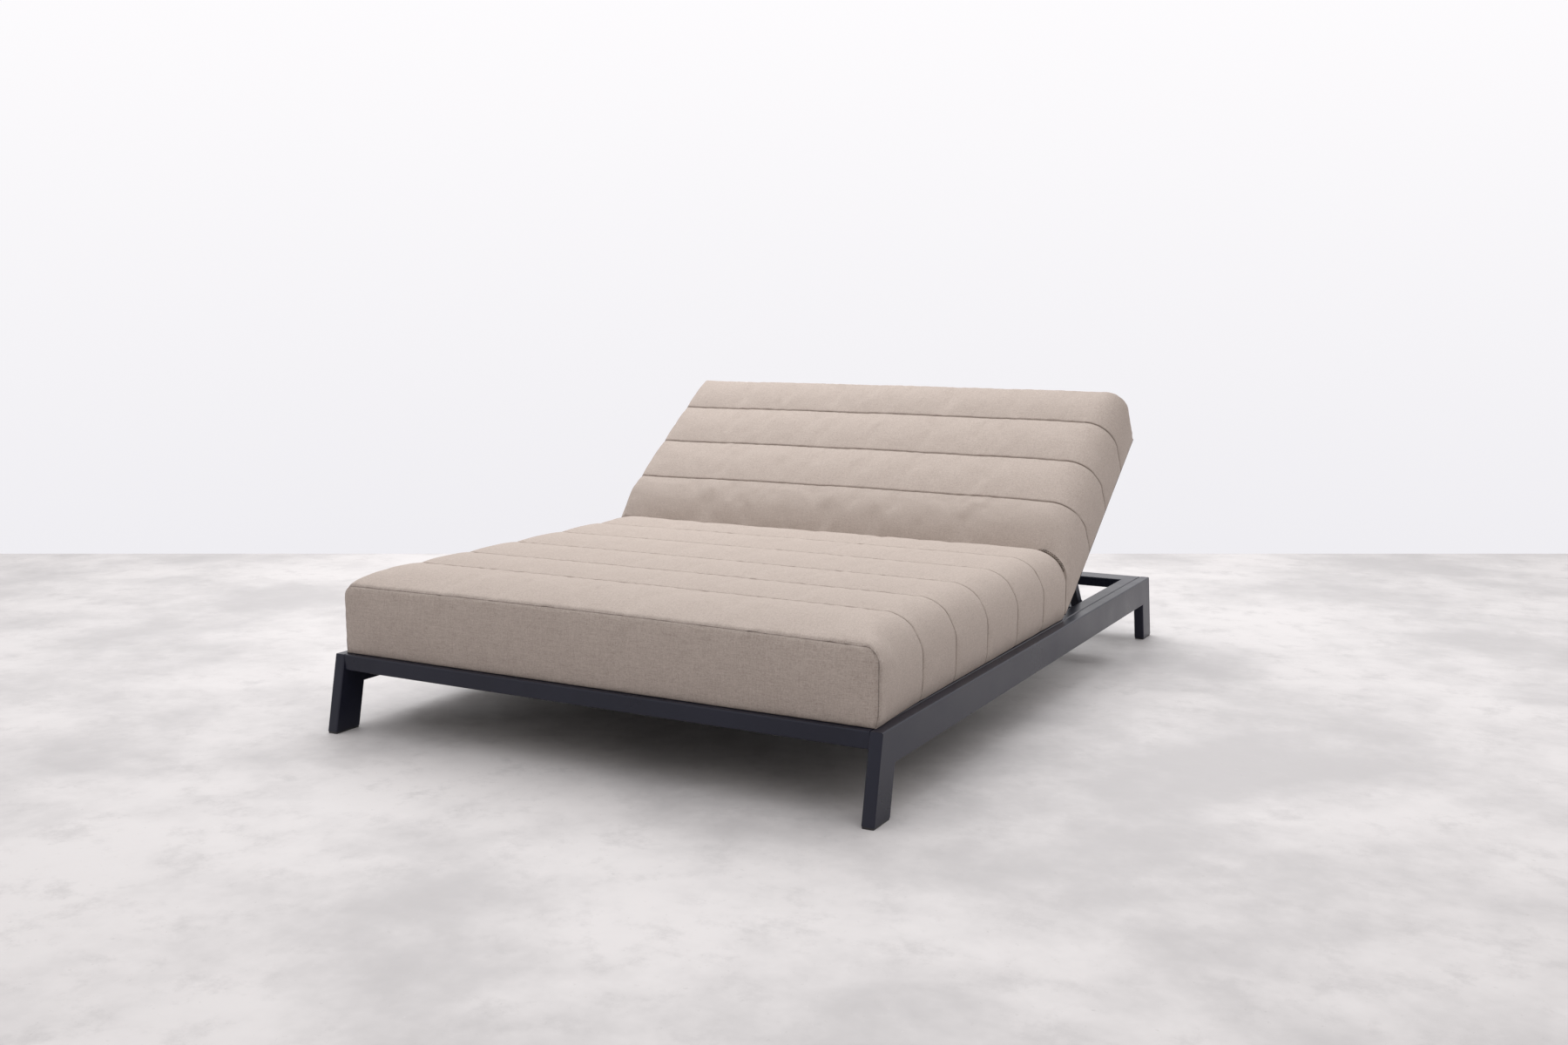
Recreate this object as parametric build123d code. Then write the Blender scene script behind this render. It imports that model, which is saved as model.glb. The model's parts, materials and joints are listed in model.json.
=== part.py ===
from build123d import *
import math
import os

# A double chaise lounger: a low tube frame on four slanted legs, a full width seat cushion, and a full
# width back that hinges at the seat's rear edge and stands on a pair of prop arms in notched plates.
# X runs across the bed, Y from the foot end to the head end, Z up from the floor. Right is +X.

# Frame as a whole
frame_width = 1500.0
frame_top_length = 2022.0
frame_height = 195.0
foot_spread = 39.0

# Tubes
tube_wall = 2.0
tube_corner_radius = 4.0
side_tube_width = 30.0
side_tube_height = 80.0
ledge_width = 40.0
ledge_height = 30.0
front_rail_depth = 40.0
front_rail_height = 40.0
rear_rail_depth = 80.0
rear_rail_height = 30.0
pivot_beam_depth = 60.0
pivot_beam_height = 30.0
rear_beam_depth = 80.0
rear_beam_height = 30.0
spine_width = 40.0
spine_height = 25.0

# Floor glides
glide_thickness = 5.0
glide_inset = 1.0
glide_plug_height = 18.0
glide_plug_clearance = 0.3

# Slats
slat_width = 60.0
slat_thickness = 15.0
slat_wall = 1.5
seat_slat_count = 8
back_slat_count = 6

# Back hinge
rest_angle = 35.1
pivot_from_front = 1254.0
pivot_below_top = 15.0
hinge_setback = 20.0
hinge_web_thickness = 4.0
hinge_ear_thickness = 6.0
hinge_ear_radius = 12.0
hinge_pin_radius = 6.0
hinge_pin_fit = 0.05
hinge_side_play = 0.1
bush_sleeve_radius = 8.0
bush_flange_radius = 11.0
bush_flange_thickness = 1.5
bush_seat_fit = 0.05
lug_thickness = 8.0
lug_web_rise = 6.0
lug_plate_thickness = 4.0
pin_head_radius = 10.0
pin_head_height = 5.0
pin_head_edge = 1.5
nut_radius = 10.0
nut_height = 7.0

# Back frame, in the back's own plane with the pivot at its origin
back_tube_width = 40.0
back_tube_depth = 30.0
back_frame_start = 30.0
back_frame_end = 676.0
back_cross_width = 30.0
plug_flange_thickness = 4.0
plug_depth = 16.0
plug_clearance = 0.3

# Prop arms, their bar and their pins
prop_gap_number = 3
prop_bar_radius = 10.0
prop_bar_wall = 2.5
prop_bar_fit = 0.05
bar_bush_radius = 12.5
bar_bush_flange_radius = 14.5
prop_side_gap = 0.5
prop_arm_width = 25.0
prop_arm_wall = 2.5
prop_foot_drop = 4.0
foot_pin_radius = 6.0
foot_pin_fit = 0.05
foot_pin_head_radius = 9.0
foot_pin_head_height = 1.5
foot_pin_end_gap = 0.5
prop_plate_gap = 5.0

# Notched plates for the prop arms
notch_plate_thickness = 8.0
notch_count = 4
notch_depth = 5.0
notch_clearance = 0.5
notch_ramp = 10.0
notch_plate_margin = 26.0
notch_steps_between = 3

# Rear beam and its rubber buffers
rear_beam_below_top = 45.0
rear_beam_from_hinge = 406.0
buffer_radius = 12.0
buffer_gap = 0.3

# Cushions
cushion_side_inset = 17.0
cushion_base_thickness = 3.0
cushion_base_inset = 4.0
cushion_gap = 0.3
seam_depth = 5.0
channel_bulge = 6.0
channel_bulge_side = 1.0
cushion_crown = 3.0
channel_edge_radius = 85.0
cap_edge_radius = 36.0
seat_front_inset = 19.5
seat_thickness = 195.0
seat_cap_height = 168.0
seat_rear_height = 188.0
seat_rear_past_pivot = 8.0
seat_first_channel = 246.0
seat_channel_count = 6
back_cushion_end = 784.0
back_cap_height = 184.0
back_channel_length = 177.0
back_top_channel = 151.0
back_full_channels = 2
back_thickness = 188.0
# A channel's swelling between its two seams, as pairs of share of its length and share of its bulge
channel_shape = ((0.12, 0.52), (0.34, 0.95), (0.66, 0.95), (0.88, 0.52), (1.0, 0.0))
# The rounded nose of the back cushion, as shares of its first channel's place and of its thickness
nose_place_shares = (0.04, 0.21, 0.39, 0.54, 0.77)
nose_height_shares = (0.30, 0.58, 0.74, 0.90, 1.03)
nose_edge_share = 0.5
nose_steps = 6

# One overrun for every cut
overrun = 5.0

# Places worked out from the sizes above
half_width = frame_width / 2
half_top = frame_top_length / 2
lean = math.degrees(math.atan(foot_spread / frame_height))
leg_cut_width = side_tube_height / math.cos(math.radians(lean))
side_mid = half_width - side_tube_width / 2
side_inner = half_width - side_tube_width
ledge_mid = side_inner - ledge_width / 2
ledge_inner = side_inner - ledge_width
front_rail_back = front_rail_depth - half_top
rear_rail_front = half_top - rear_rail_depth
pivot_y = pivot_from_front - half_top
pivot_z = frame_height - pivot_below_top
pivot_beam_back = pivot_y - hinge_setback
pivot_beam_front = pivot_beam_back - pivot_beam_depth
slat_mid_z = frame_height - slat_thickness / 2
notch_plate_inner = ledge_inner - notch_plate_thickness
prop_arm_outer = notch_plate_inner - prop_plate_gap
prop_arm_inner = prop_arm_outer - prop_arm_width
back_frame_half_width = prop_arm_inner - prop_side_gap - bush_flange_thickness
back_tube_mid = back_frame_half_width - back_tube_width / 2
back_tube_inner = back_frame_half_width - back_tube_width
back_top = back_tube_depth / 2
rear_beam_top = frame_height - rear_beam_below_top
rear_beam_mid = pivot_y + rear_beam_from_hinge + rear_beam_depth / 2
prop_arm_mid = (prop_arm_inner + prop_arm_outer) / 2
notch_plate_mid = (notch_plate_inner + ledge_inner) / 2
cushion_half_width = half_width - cushion_side_inset
seat_front = seat_front_inset - half_top
seat_rear = pivot_y + seat_rear_past_pivot
back_plane = Location((0, pivot_y, pivot_z), (rest_angle, 0, 0))


def spaced(low, high, count, width):
    """Middles of count equal pieces spread between two faces with equal gaps."""
    gap = (high - low - count * width) / (count + 1)
    return [low + gap * (i + 1) + width * (i + 0.5) for i in range(count)]


def gap_middle(low, high, count, width, number):
    """Middle of one of the equal gaps left beside those pieces, the first being number one."""
    gap = (high - low - count * width) / (count + 1)
    return low + (gap + width) * (number - 1) + gap / 2


back_slats_low = back_frame_start + back_cross_width
back_slats_high = back_frame_end - back_cross_width
prop_bar_place = gap_middle(back_slats_low, back_slats_high, back_slat_count, slat_width, prop_gap_number)
prop_length = (prop_bar_place * math.sin(math.radians(rest_angle)) + prop_foot_drop) / math.cos(
    math.radians(rest_angle)
)


def tube_section(width, height, wall=tube_wall, radius=tube_corner_radius):
    """A rectangular tube's cross section, round at its outer corners."""
    return RectangleRounded(width, height, radius) - Rectangle(width - 2 * wall, height - 2 * wall)


def tube_along_x(depth, height, x_low, x_high, y, z, wall=tube_wall, radius=tube_corner_radius):
    bar = extrude(Plane.YZ * tube_section(depth, height, wall, radius), amount=x_high - x_low)
    return Pos(x_low, y, z) * bar


def tube_along_y(width, height, y_low, y_high, x, z, wall=tube_wall, radius=tube_corner_radius):
    bar = extrude(Plane.XZ * tube_section(width, height, wall, radius), amount=y_high - y_low)
    return Pos(x, y_high, z) * bar


def rod_along_x(radius, x_low, x_high, y=0, z=0):
    return Pos(x_low, y, z) * extrude(Plane.YZ * Circle(radius), amount=x_high - x_low)


def ring_along_x(radius, bore, x_low, x_high, y=0, z=0):
    return Pos(x_low, y, z) * extrude(Plane.YZ * (Circle(radius) - Circle(bore)), amount=x_high - x_low)


def plate_across_x(outline, thickness, x_mid):
    """A plate from an outline drawn in Y and Z, centred on x_mid."""
    return Pos(x_mid - thickness / 2, 0, 0) * extrude(Plane.YZ * outline, amount=thickness)


def both_sides(shape):
    """The same solid on the right and mirrored to the left, as one group."""
    return Compound(children=[shape, mirror(shape, Plane.YZ)])


def save(name, shape):
    shape.label = name
    export_step(shape, f"parts/{name}.step")


def save_pair(name, shape):
    """Writes a right hand piece and its mirror image on the left."""
    save(f"{name}_right", shape)
    save(f"{name}_left", mirror(shape, Plane.YZ))


def leg_mitre():
    """The mitre between front leg and side rail, through their outer and inner corners."""
    rise = side_tube_height
    run = leg_cut_width - rise * math.tan(math.radians(lean))
    return Plane(origin=(0, -half_top, frame_height), x_dir=(1, 0, 0), z_dir=(0, rise, run))


def leg_place():
    """The front leg's middle line at the frame's top, tipped outwards at the foot."""
    return Location((side_mid, leg_cut_width / 2 - half_top, frame_height), (-lean, 0, 0))


def side_rail():
    rail = tube_along_y(
        side_tube_width, side_tube_height, -half_top - foot_spread, half_top + foot_spread,
        side_mid, frame_height - side_tube_height / 2,
    )
    front = leg_mitre()
    rail = split(rail, bisect_by=front, keep=Keep.TOP)
    rail = mirror(rail, Plane.XZ)
    rail = split(rail, bisect_by=front, keep=Keep.TOP)
    return mirror(rail, Plane.XZ)


def front_leg():
    reach = frame_height + side_tube_height
    tube = extrude(tube_section(side_tube_width, side_tube_height), amount=reach, both=True)
    leg = split(leg_place() * tube, bisect_by=leg_mitre(), keep=Keep.BOTTOM)
    return split(leg, bisect_by=Plane.XY.offset(glide_thickness), keep=Keep.TOP)


def front_glide():
    """A plastic glide: a sole under the leg and a plug up inside it."""
    mid_y = leg_cut_width / 2 - half_top - foot_spread * (1 - glide_thickness / 2 / frame_height)
    sole = RectangleRounded(
        side_tube_width - 2 * glide_inset, leg_cut_width - 2 * glide_inset, tube_corner_radius
    )
    sole = Pos(side_mid, mid_y, 0) * extrude(sole, amount=glide_thickness)
    slack = 2 * (tube_wall + glide_plug_clearance)
    core = extrude(
        Rectangle(side_tube_width - slack, side_tube_height - slack), amount=-frame_height * 2
    )
    core = split(leg_place() * core, bisect_by=Plane.XY.offset(glide_thickness), keep=Keep.TOP)
    top = Plane.XY.offset(glide_thickness + glide_plug_height)
    return sole + split(core, bisect_by=top, keep=Keep.BOTTOM)


def rear_mitre():
    """The mitre between the right ledge and the rear rail, seen from above."""
    return Plane(origin=(ledge_inner, rear_rail_front, 0), x_dir=(0, 0, 1), z_dir=(1, -1, 0))


def ledge():
    bar = tube_along_y(
        ledge_width, ledge_height, front_rail_back, half_top, ledge_mid, frame_height - ledge_height / 2
    )
    return split(bar, bisect_by=rear_mitre(), keep=Keep.TOP)


def front_rail():
    return tube_along_x(
        front_rail_depth, front_rail_height, -side_inner, side_inner,
        front_rail_depth / 2 - half_top, frame_height - front_rail_height / 2,
    )


def rear_rail():
    rail = tube_along_x(
        rear_rail_depth, rear_rail_height, -side_inner, side_inner,
        half_top - rear_rail_depth / 2, frame_height - rear_rail_height / 2,
    )
    rail = split(rail, bisect_by=rear_mitre(), keep=Keep.BOTTOM)
    rail = mirror(rail, Plane.YZ)
    return split(rail, bisect_by=rear_mitre(), keep=Keep.BOTTOM)


def pivot_beam():
    return tube_along_x(
        pivot_beam_depth, pivot_beam_height, -ledge_inner, ledge_inner,
        (pivot_beam_front + pivot_beam_back) / 2, frame_height - pivot_beam_height / 2,
    )


def rear_beam():
    return tube_along_x(
        rear_beam_depth, rear_beam_height, -side_inner, side_inner,
        rear_beam_mid, rear_beam_top - rear_beam_height / 2,
    )


def seat_spine():
    return tube_along_y(
        spine_width, spine_height, front_rail_back, pivot_beam_front,
        0, frame_height - slat_thickness - spine_height / 2,
    )


def slat(half_length, y, z):
    """An extruded slat across the bed, hollow, with square edges."""
    section = Rectangle(slat_width, slat_thickness)
    section -= Rectangle(slat_width - 2 * slat_wall, slat_thickness - 2 * slat_wall)
    return Pos(0, y, z) * extrude(Plane.YZ * section, amount=half_length, both=True)


def seat_slats():
    middles = spaced(front_rail_back, pivot_beam_front, seat_slat_count, slat_width)
    return Compound(children=[slat(ledge_inner, y, slat_mid_z) for y in middles])


def hinge_stack():
    """Outer faces of lug, bush flanges and ears, measured from the lug's middle."""
    lug_face = lug_thickness / 2
    flange_face = lug_face + bush_flange_thickness
    ear_face = flange_face + hinge_side_play
    return lug_face, flange_face, ear_face, ear_face + hinge_ear_thickness


def hinge_bracket():
    """A clevis on the pivot beam: a web on the beam's rear face and two ears round the lug."""
    _, _, ear_face, ear_back = hinge_stack()
    height = 2 * hinge_ear_radius
    reach = hinge_setback - hinge_web_thickness
    web = Pos(back_tube_mid, pivot_beam_back + hinge_web_thickness / 2, pivot_z) * Box(
        2 * ear_back, hinge_web_thickness, height
    )
    outline = Pos(pivot_y - reach / 2, pivot_z) * Rectangle(reach, height)
    outline += Pos(pivot_y, pivot_z) * Circle(hinge_ear_radius)
    outline -= Pos(pivot_y, pivot_z) * Circle(hinge_pin_radius + hinge_pin_fit)
    offset = (ear_face + ear_back) / 2
    for side in (-1, 1):
        web += plate_across_x(outline, hinge_ear_thickness, back_tube_mid + side * offset)
    return web


def hinge_pin():
    """A shoulder bolt through the clevis, its bevelled head outboard."""
    _, _, _, ear_back = hinge_stack()
    outer = back_tube_mid + ear_back
    tail = back_tube_mid - ear_back - nut_height
    head = rod_along_x(pin_head_radius, outer, outer + pin_head_height, pivot_y, pivot_z)
    head = chamfer(head.edges().filter_by(GeomType.CIRCLE).sort_by(Axis.X)[-1], pin_head_edge)
    return head + rod_along_x(hinge_pin_radius, tail, outer, pivot_y, pivot_z)


def hinge_nut():
    _, _, _, ear_back = hinge_stack()
    outline = RegularPolygon(nut_radius, 6) - Circle(hinge_pin_radius + hinge_pin_fit)
    nut = extrude(Plane.YZ * outline, amount=nut_height)
    return Pos(back_tube_mid - ear_back - nut_height, pivot_y, pivot_z) * nut


def foot_path(share):
    """Prop foot pin's place in Y and Z when the back is lowered by a share of its travel."""
    back = math.radians(rest_angle * (1 - share))
    arm = math.radians(90 * share - 90)
    along = prop_bar_place + prop_length * math.cos(arm)
    above = prop_length * math.sin(arm)
    y = pivot_y + along * math.cos(back) - above * math.sin(back)
    z = pivot_z + along * math.sin(back) + above * math.cos(back)
    return y, z


def notch_plate():
    """A plate whose teeth pass just under the foot pins, with a pocket behind a ramp for each setting, and a
    level top behind the last one, where the arm folds up against the flat back.
    """
    below_pin = foot_pin_radius + notch_clearance
    first, last = foot_path(0)[0], foot_path(1)[0]
    stops = [foot_path(i / notch_count) for i in range(notch_count)]
    steps = (notch_count - 1) * notch_steps_between
    path = [foot_path(i / notch_steps_between / notch_count) for i in range(steps + 1)]
    top = [(y, z - below_pin) for y, z in path]
    front, back = first - notch_plate_margin, last + notch_plate_margin
    points = [(front, rear_beam_top), (back, rear_beam_top), (back, top[-1][1])]
    points += list(reversed(top)) + [(front, top[0][1])]
    plate = make_face(Polyline(*points, close=True))
    for y, z in stops:
        floor = z - notch_depth
        plate -= Pos(y, floor) * Circle(below_pin)
        mouth = z + overrun
        plate -= make_face(Polyline(
            (y - below_pin, floor), (y + below_pin, floor), (y + below_pin, mouth),
            (y - below_pin - notch_ramp, mouth), close=True,
        ))
    return plate_across_x(plate, notch_plate_thickness, notch_plate_mid)


def back_buffer():
    """A rubber buffer on the rear beam that the flat back comes down on."""
    under_back = pivot_z - back_top
    height = under_back - buffer_gap - rear_beam_top
    return Pos(back_tube_mid, rear_beam_mid, rear_beam_top) * extrude(Circle(buffer_radius), amount=height)


def back_side_tube():
    bar = tube_along_y(back_tube_width, back_tube_depth, back_frame_start, back_frame_end, back_tube_mid, 0)
    seat = rod_along_x(
        bar_bush_radius + bush_seat_fit, back_tube_inner - overrun, back_frame_half_width + overrun,
        prop_bar_place,
    )
    return back_plane * (bar - seat)


def back_cross_tube(low):
    """A tube between the side tubes, from a place along the back."""
    return back_plane * tube_along_x(
        back_cross_width, back_tube_depth, -back_tube_inner, back_tube_inner, low + back_cross_width / 2, 0
    )


def back_slats():
    middles = spaced(back_slats_low, back_slats_high, back_slat_count, slat_width)
    z = back_top - slat_thickness / 2
    return back_plane * Compound(children=[slat(back_tube_inner, y, z) for y in middles])


def hinge_lug():
    """A lug on an end plate, welded over the side tube's lower end."""
    plate_low = back_frame_start - lug_plate_thickness
    plate = Pos(back_tube_mid, back_frame_start - lug_plate_thickness / 2, 0) * Box(
        back_tube_width, lug_plate_thickness, back_tube_depth
    )
    web_height = hinge_ear_radius + lug_web_rise
    outline = Pos(plate_low / 2, lug_web_rise - web_height / 2) * Rectangle(plate_low, web_height)
    outline += Circle(hinge_ear_radius)
    outline -= Circle(bush_sleeve_radius + bush_seat_fit)
    return plate + plate_across_x(outline, lug_thickness, back_tube_mid)


def hinge_bushes():
    """Two flanged bushes pressed into one lug from either side."""
    lug_face, flange_face, _, _ = hinge_stack()
    bore = hinge_pin_radius + hinge_pin_fit
    mid = back_tube_mid
    outer = ring_along_x(bush_sleeve_radius, bore, mid, mid + lug_face)
    outer += ring_along_x(bush_flange_radius, bore, mid + lug_face, mid + flange_face)
    inner = ring_along_x(bush_sleeve_radius, bore, mid - lug_face, mid)
    inner += ring_along_x(bush_flange_radius, bore, mid - flange_face, mid - lug_face)
    pair = [outer, inner, mirror(outer, Plane.YZ), mirror(inner, Plane.YZ)]
    return back_plane * Compound(children=pair)


def bar_bush():
    """The prop bar's bush through a side tube, flanged on its outer face."""
    bore = prop_bar_radius + prop_bar_fit
    outer = back_frame_half_width
    bush = ring_along_x(bar_bush_radius, bore, back_tube_inner, outer, prop_bar_place)
    return bush + ring_along_x(bar_bush_flange_radius, bore, outer, outer + bush_flange_thickness, prop_bar_place)


def back_tube_plug():
    """A plastic plug in a side tube's upper end."""
    slack = 2 * (tube_wall + plug_clearance)
    flange = Pos(back_tube_mid, back_frame_end + plug_flange_thickness / 2, 0) * Box(
        back_tube_width, plug_flange_thickness, back_tube_depth
    )
    stem = Pos(back_tube_mid, back_frame_end - plug_depth / 2, 0) * Box(
        back_tube_width - slack, plug_depth, back_tube_depth - slack
    )
    return flange + stem


def on_prop_bar(shape):
    """Puts a piece drawn round the prop bar at its place on the back."""
    return back_plane * Pos(0, prop_bar_place, 0) * shape


def prop_arm():
    """A square tube arm with round solid ends, square to the back at rest."""
    outer = Pos(0, -prop_length / 2) * Rectangle(prop_arm_width, prop_length)
    inner = Pos(0, -prop_length / 2) * Rectangle(prop_arm_width - 2 * prop_arm_wall, prop_length)
    for z in (0, -prop_length):
        outer += Pos(0, z) * Circle(prop_arm_width / 2)
    arm = plate_across_x(outer, prop_arm_width, prop_arm_mid)
    arm -= plate_across_x(inner, prop_arm_width - 2 * prop_arm_wall, prop_arm_mid)
    arm -= rod_along_x(
        foot_pin_radius + foot_pin_fit, prop_arm_inner - overrun, prop_arm_outer + overrun, 0, -prop_length
    )
    return arm


def prop_bar():
    """The bar that turns in the side tubes and joins both arms."""
    return ring_along_x(prop_bar_radius, prop_bar_radius - prop_bar_wall, -prop_arm_inner, prop_arm_inner)


def foot_pin():
    head_low = prop_arm_inner - foot_pin_head_height
    pin = rod_along_x(foot_pin_radius, prop_arm_inner, ledge_inner - foot_pin_end_gap, 0, -prop_length)
    return pin + rod_along_x(foot_pin_head_radius, head_low, prop_arm_inner, 0, -prop_length)


def cushion_section(half, base, top, radius, crown=cushion_crown):
    """A cushion's cross section in X and Z: flat under, upright sides, round top edges, a slight crown."""
    corner = radius * (1 - math.sqrt(0.5))
    shoulder = half - radius
    outline = [
        Line((-half, base), (half, base)),
        Line((half, base), (half, top - radius)),
        ThreePointArc((half, top - radius), (half - corner, top - corner), (shoulder, top)),
        ThreePointArc((shoulder, top), (0, top + crown), (-shoulder, top)),
        ThreePointArc((-shoulder, top), (corner - half, top - corner), (-half, top - radius)),
        Line((-half, top - radius), (-half, base)),
    ]
    return make_face(Curve() + outline)


def at_place(section, y):
    """Stands a section drawn in X and Z upright at a place along Y."""
    return Pos(0, y, 0) * (Plane(origin=(0, 0, 0), x_dir=(1, 0, 0), z_dir=(0, -1, 0)) * section)


def mixed(first, second, share):
    """Section sizes part of the way from one set to another."""
    return tuple(a + (b - a) * share for a, b in zip(first, second))


def channel(low, high, low_size, full_size, high_size):
    """Places and section sizes of one padded channel, from just past its first seam to its second seam."""
    rows = []
    for share, swell in channel_shape:
        rows.append((low + (high - low) * share, mixed(mixed(low_size, high_size, share), full_size, swell)))
    return rows


def cushion_body(rows, base):
    """The cushion through a row of sections, each given by its place and its half width, top and edge radius."""
    sections = [at_place(cushion_section(half, base, top, radius), y) for y, (half, top, radius) in rows]
    return loft(sections, ruled=True)


def channel_sizes(top):
    """Half width, top height and edge radius of a cushion at a seam and at the full middle of a channel."""
    seam = (cushion_half_width - seam_depth, top, channel_edge_radius)
    full = (cushion_half_width + channel_bulge_side, top + channel_bulge, channel_edge_radius)
    return seam, full


def seat_cushion():
    top = frame_height + seat_thickness
    seam, full = channel_sizes(top)
    cap = (cushion_half_width, frame_height + seat_cap_height, cap_edge_radius)
    rear = (cushion_half_width - seam_depth, frame_height + seat_rear_height, channel_edge_radius)
    first_seam = seat_front + seat_first_channel
    pitch = (seat_rear - first_seam) / (seat_channel_count - 1)
    rows = [(seat_front, cap)]
    rows += channel(seat_front, first_seam, cap, mixed(mixed(cap, seam, 0.5), full, 0.5), seam)
    for i in range(seat_channel_count - 1):
        low = first_seam + pitch * i
        rows += channel(low, low + pitch, seam, full, rear if i == seat_channel_count - 2 else seam)
    return cushion_body(rows, frame_height + cushion_base_thickness)


def seat_cushion_base():
    width = 2 * (cushion_half_width - seam_depth - cushion_base_inset)
    low = seat_front + cushion_base_inset
    return Pos(0, (low + seat_rear) / 2, frame_height + cushion_base_thickness / 2) * Box(
        width, seat_rear - low, cushion_base_thickness
    )


def fold_plane():
    """The upright plane where the two cushions meet, a small gap behind the seat cushion."""
    return Plane(origin=(0, seat_rear + cushion_gap, 0), x_dir=(1, 0, 0), z_dir=(0, 1, 0))


def back_nose(first_seam, top):
    """The back cushion's rounded lower end, swelling from near the hinge up to its first seam."""
    line = Spline(*[
        (first_seam * place, top * height) for place, height in zip(nose_place_shares, nose_height_shares)
    ])
    rows = []
    for i in range(nose_steps + 1):
        place = line @ (i / nose_steps)
        radius = channel_edge_radius * min(place.Y / top, nose_edge_share)
        rows.append((place.X, (cushion_half_width, place.Y, radius)))
    return rows


def back_cushion():
    top = back_top + back_thickness
    seam, full = channel_sizes(top)
    cap = (cushion_half_width, back_top + back_cap_height, cap_edge_radius)
    last_seam = back_cushion_end - back_top_channel
    first_seam = last_seam - back_full_channels * back_channel_length
    rows = back_nose(first_seam, top) + [(first_seam, seam)]
    for i in range(back_full_channels):
        low = first_seam + back_channel_length * i
        rows += channel(low, low + back_channel_length, seam, full, seam)
    rows += channel(last_seam, back_cushion_end, seam, full, cap)
    cushion = cushion_body(rows, back_top + cushion_base_thickness)
    return split(back_plane * cushion, bisect_by=fold_plane(), keep=Keep.TOP)


def back_cushion_base():
    width = 2 * (cushion_half_width - seam_depth - cushion_base_inset)
    high = back_cushion_end - cushion_base_inset
    panel = Pos(0, high / 2, back_top + cushion_base_thickness / 2) * Box(width, high, cushion_base_thickness)
    return split(back_plane * panel, bisect_by=fold_plane(), keep=Keep.TOP)


def write_base_frame():
    save_pair("side_rail", side_rail())
    leg = front_leg()
    save_pair("leg_front", leg)
    save_pair("leg_rear", mirror(leg, Plane.XZ))
    glide = front_glide()
    glides = [glide, mirror(glide, Plane.XZ)]
    save("foot_glides", Compound(children=glides + [mirror(g, Plane.YZ) for g in glides]))
    save_pair("ledge", ledge())
    save("front_rail", front_rail())
    save("rear_rail", rear_rail())
    save("pivot_beam", pivot_beam())
    save("rear_beam", rear_beam())
    save("seat_spine", seat_spine())
    save("seat_slats", seat_slats())
    save("hinge_brackets", both_sides(hinge_bracket()))
    save("hinge_pins", both_sides(hinge_pin()))
    save("hinge_nuts", both_sides(hinge_nut()))
    save_pair("notch_plate", notch_plate())
    save("back_buffers", both_sides(back_buffer()))
    save("seat_cushion_base", seat_cushion_base())
    save("seat_cushion", seat_cushion())


def write_back():
    save_pair("back_side_tube", back_side_tube())
    save("back_lower_tube", back_cross_tube(back_frame_start))
    save("back_upper_tube", back_cross_tube(back_frame_end - back_cross_width))
    save("back_slats", back_slats())
    save("hinge_lugs", back_plane * both_sides(hinge_lug()))
    save("hinge_bushes", hinge_bushes())
    save("prop_bar_bushes", back_plane * both_sides(bar_bush()))
    save("back_tube_plugs", back_plane * both_sides(back_tube_plug()))
    save("back_cushion_base", back_cushion_base())
    save("back_cushion", back_cushion())


def write_prop():
    arm = prop_arm()
    save("prop_arm_right", on_prop_bar(arm))
    save("prop_arm_left", on_prop_bar(mirror(arm, Plane.YZ)))
    save("prop_bar", on_prop_bar(prop_bar()))
    save("prop_foot_pins", on_prop_bar(both_sides(foot_pin())))


def main():
    os.makedirs("parts", exist_ok=True)
    write_base_frame()
    write_back()
    write_prop()
    bar = back_plane * Pos(0, prop_bar_place, 0)
    print("back hinge", pivot_y, pivot_z, "prop bar", tuple(bar.position), "prop length", prop_length)
    print("foot pin at rest and flat", foot_path(0), foot_path(1), "ratio", -90 / rest_angle)


main()
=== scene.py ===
"""Looks of a double chaise lounger: its two channelled cushions, every finish, and the floor and light."""

from __future__ import annotations

import json
import logging
import math
from collections.abc import Iterable, Sequence
from dataclasses import dataclass
from enum import Enum

import bpy
import numpy as np
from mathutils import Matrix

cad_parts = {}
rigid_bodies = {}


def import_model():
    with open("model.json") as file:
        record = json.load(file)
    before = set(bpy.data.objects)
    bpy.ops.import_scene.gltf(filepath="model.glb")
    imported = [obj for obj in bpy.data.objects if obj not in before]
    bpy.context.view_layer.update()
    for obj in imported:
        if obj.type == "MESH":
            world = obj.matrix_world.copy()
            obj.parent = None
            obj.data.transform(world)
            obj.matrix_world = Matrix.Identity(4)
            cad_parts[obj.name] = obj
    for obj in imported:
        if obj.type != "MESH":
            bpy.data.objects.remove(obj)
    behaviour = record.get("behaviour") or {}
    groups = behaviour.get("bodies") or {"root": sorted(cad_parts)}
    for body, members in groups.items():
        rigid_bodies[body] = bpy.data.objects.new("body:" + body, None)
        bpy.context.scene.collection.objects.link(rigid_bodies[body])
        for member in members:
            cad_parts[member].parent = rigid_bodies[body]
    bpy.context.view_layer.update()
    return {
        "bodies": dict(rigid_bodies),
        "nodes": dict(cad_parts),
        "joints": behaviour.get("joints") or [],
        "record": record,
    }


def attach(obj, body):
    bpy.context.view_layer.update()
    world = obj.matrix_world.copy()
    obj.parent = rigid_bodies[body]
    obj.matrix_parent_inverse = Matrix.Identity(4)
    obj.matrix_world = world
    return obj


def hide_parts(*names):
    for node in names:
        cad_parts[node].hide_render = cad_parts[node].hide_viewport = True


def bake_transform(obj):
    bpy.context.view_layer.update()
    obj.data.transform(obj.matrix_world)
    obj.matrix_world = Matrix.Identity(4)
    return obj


LOG = logging.getLogger("lounger")
# The back's hinge line in y and z, and how far the back is raised.
HINGE = (0.243, 0.180)
RECLINE = math.radians(35.1)
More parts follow.
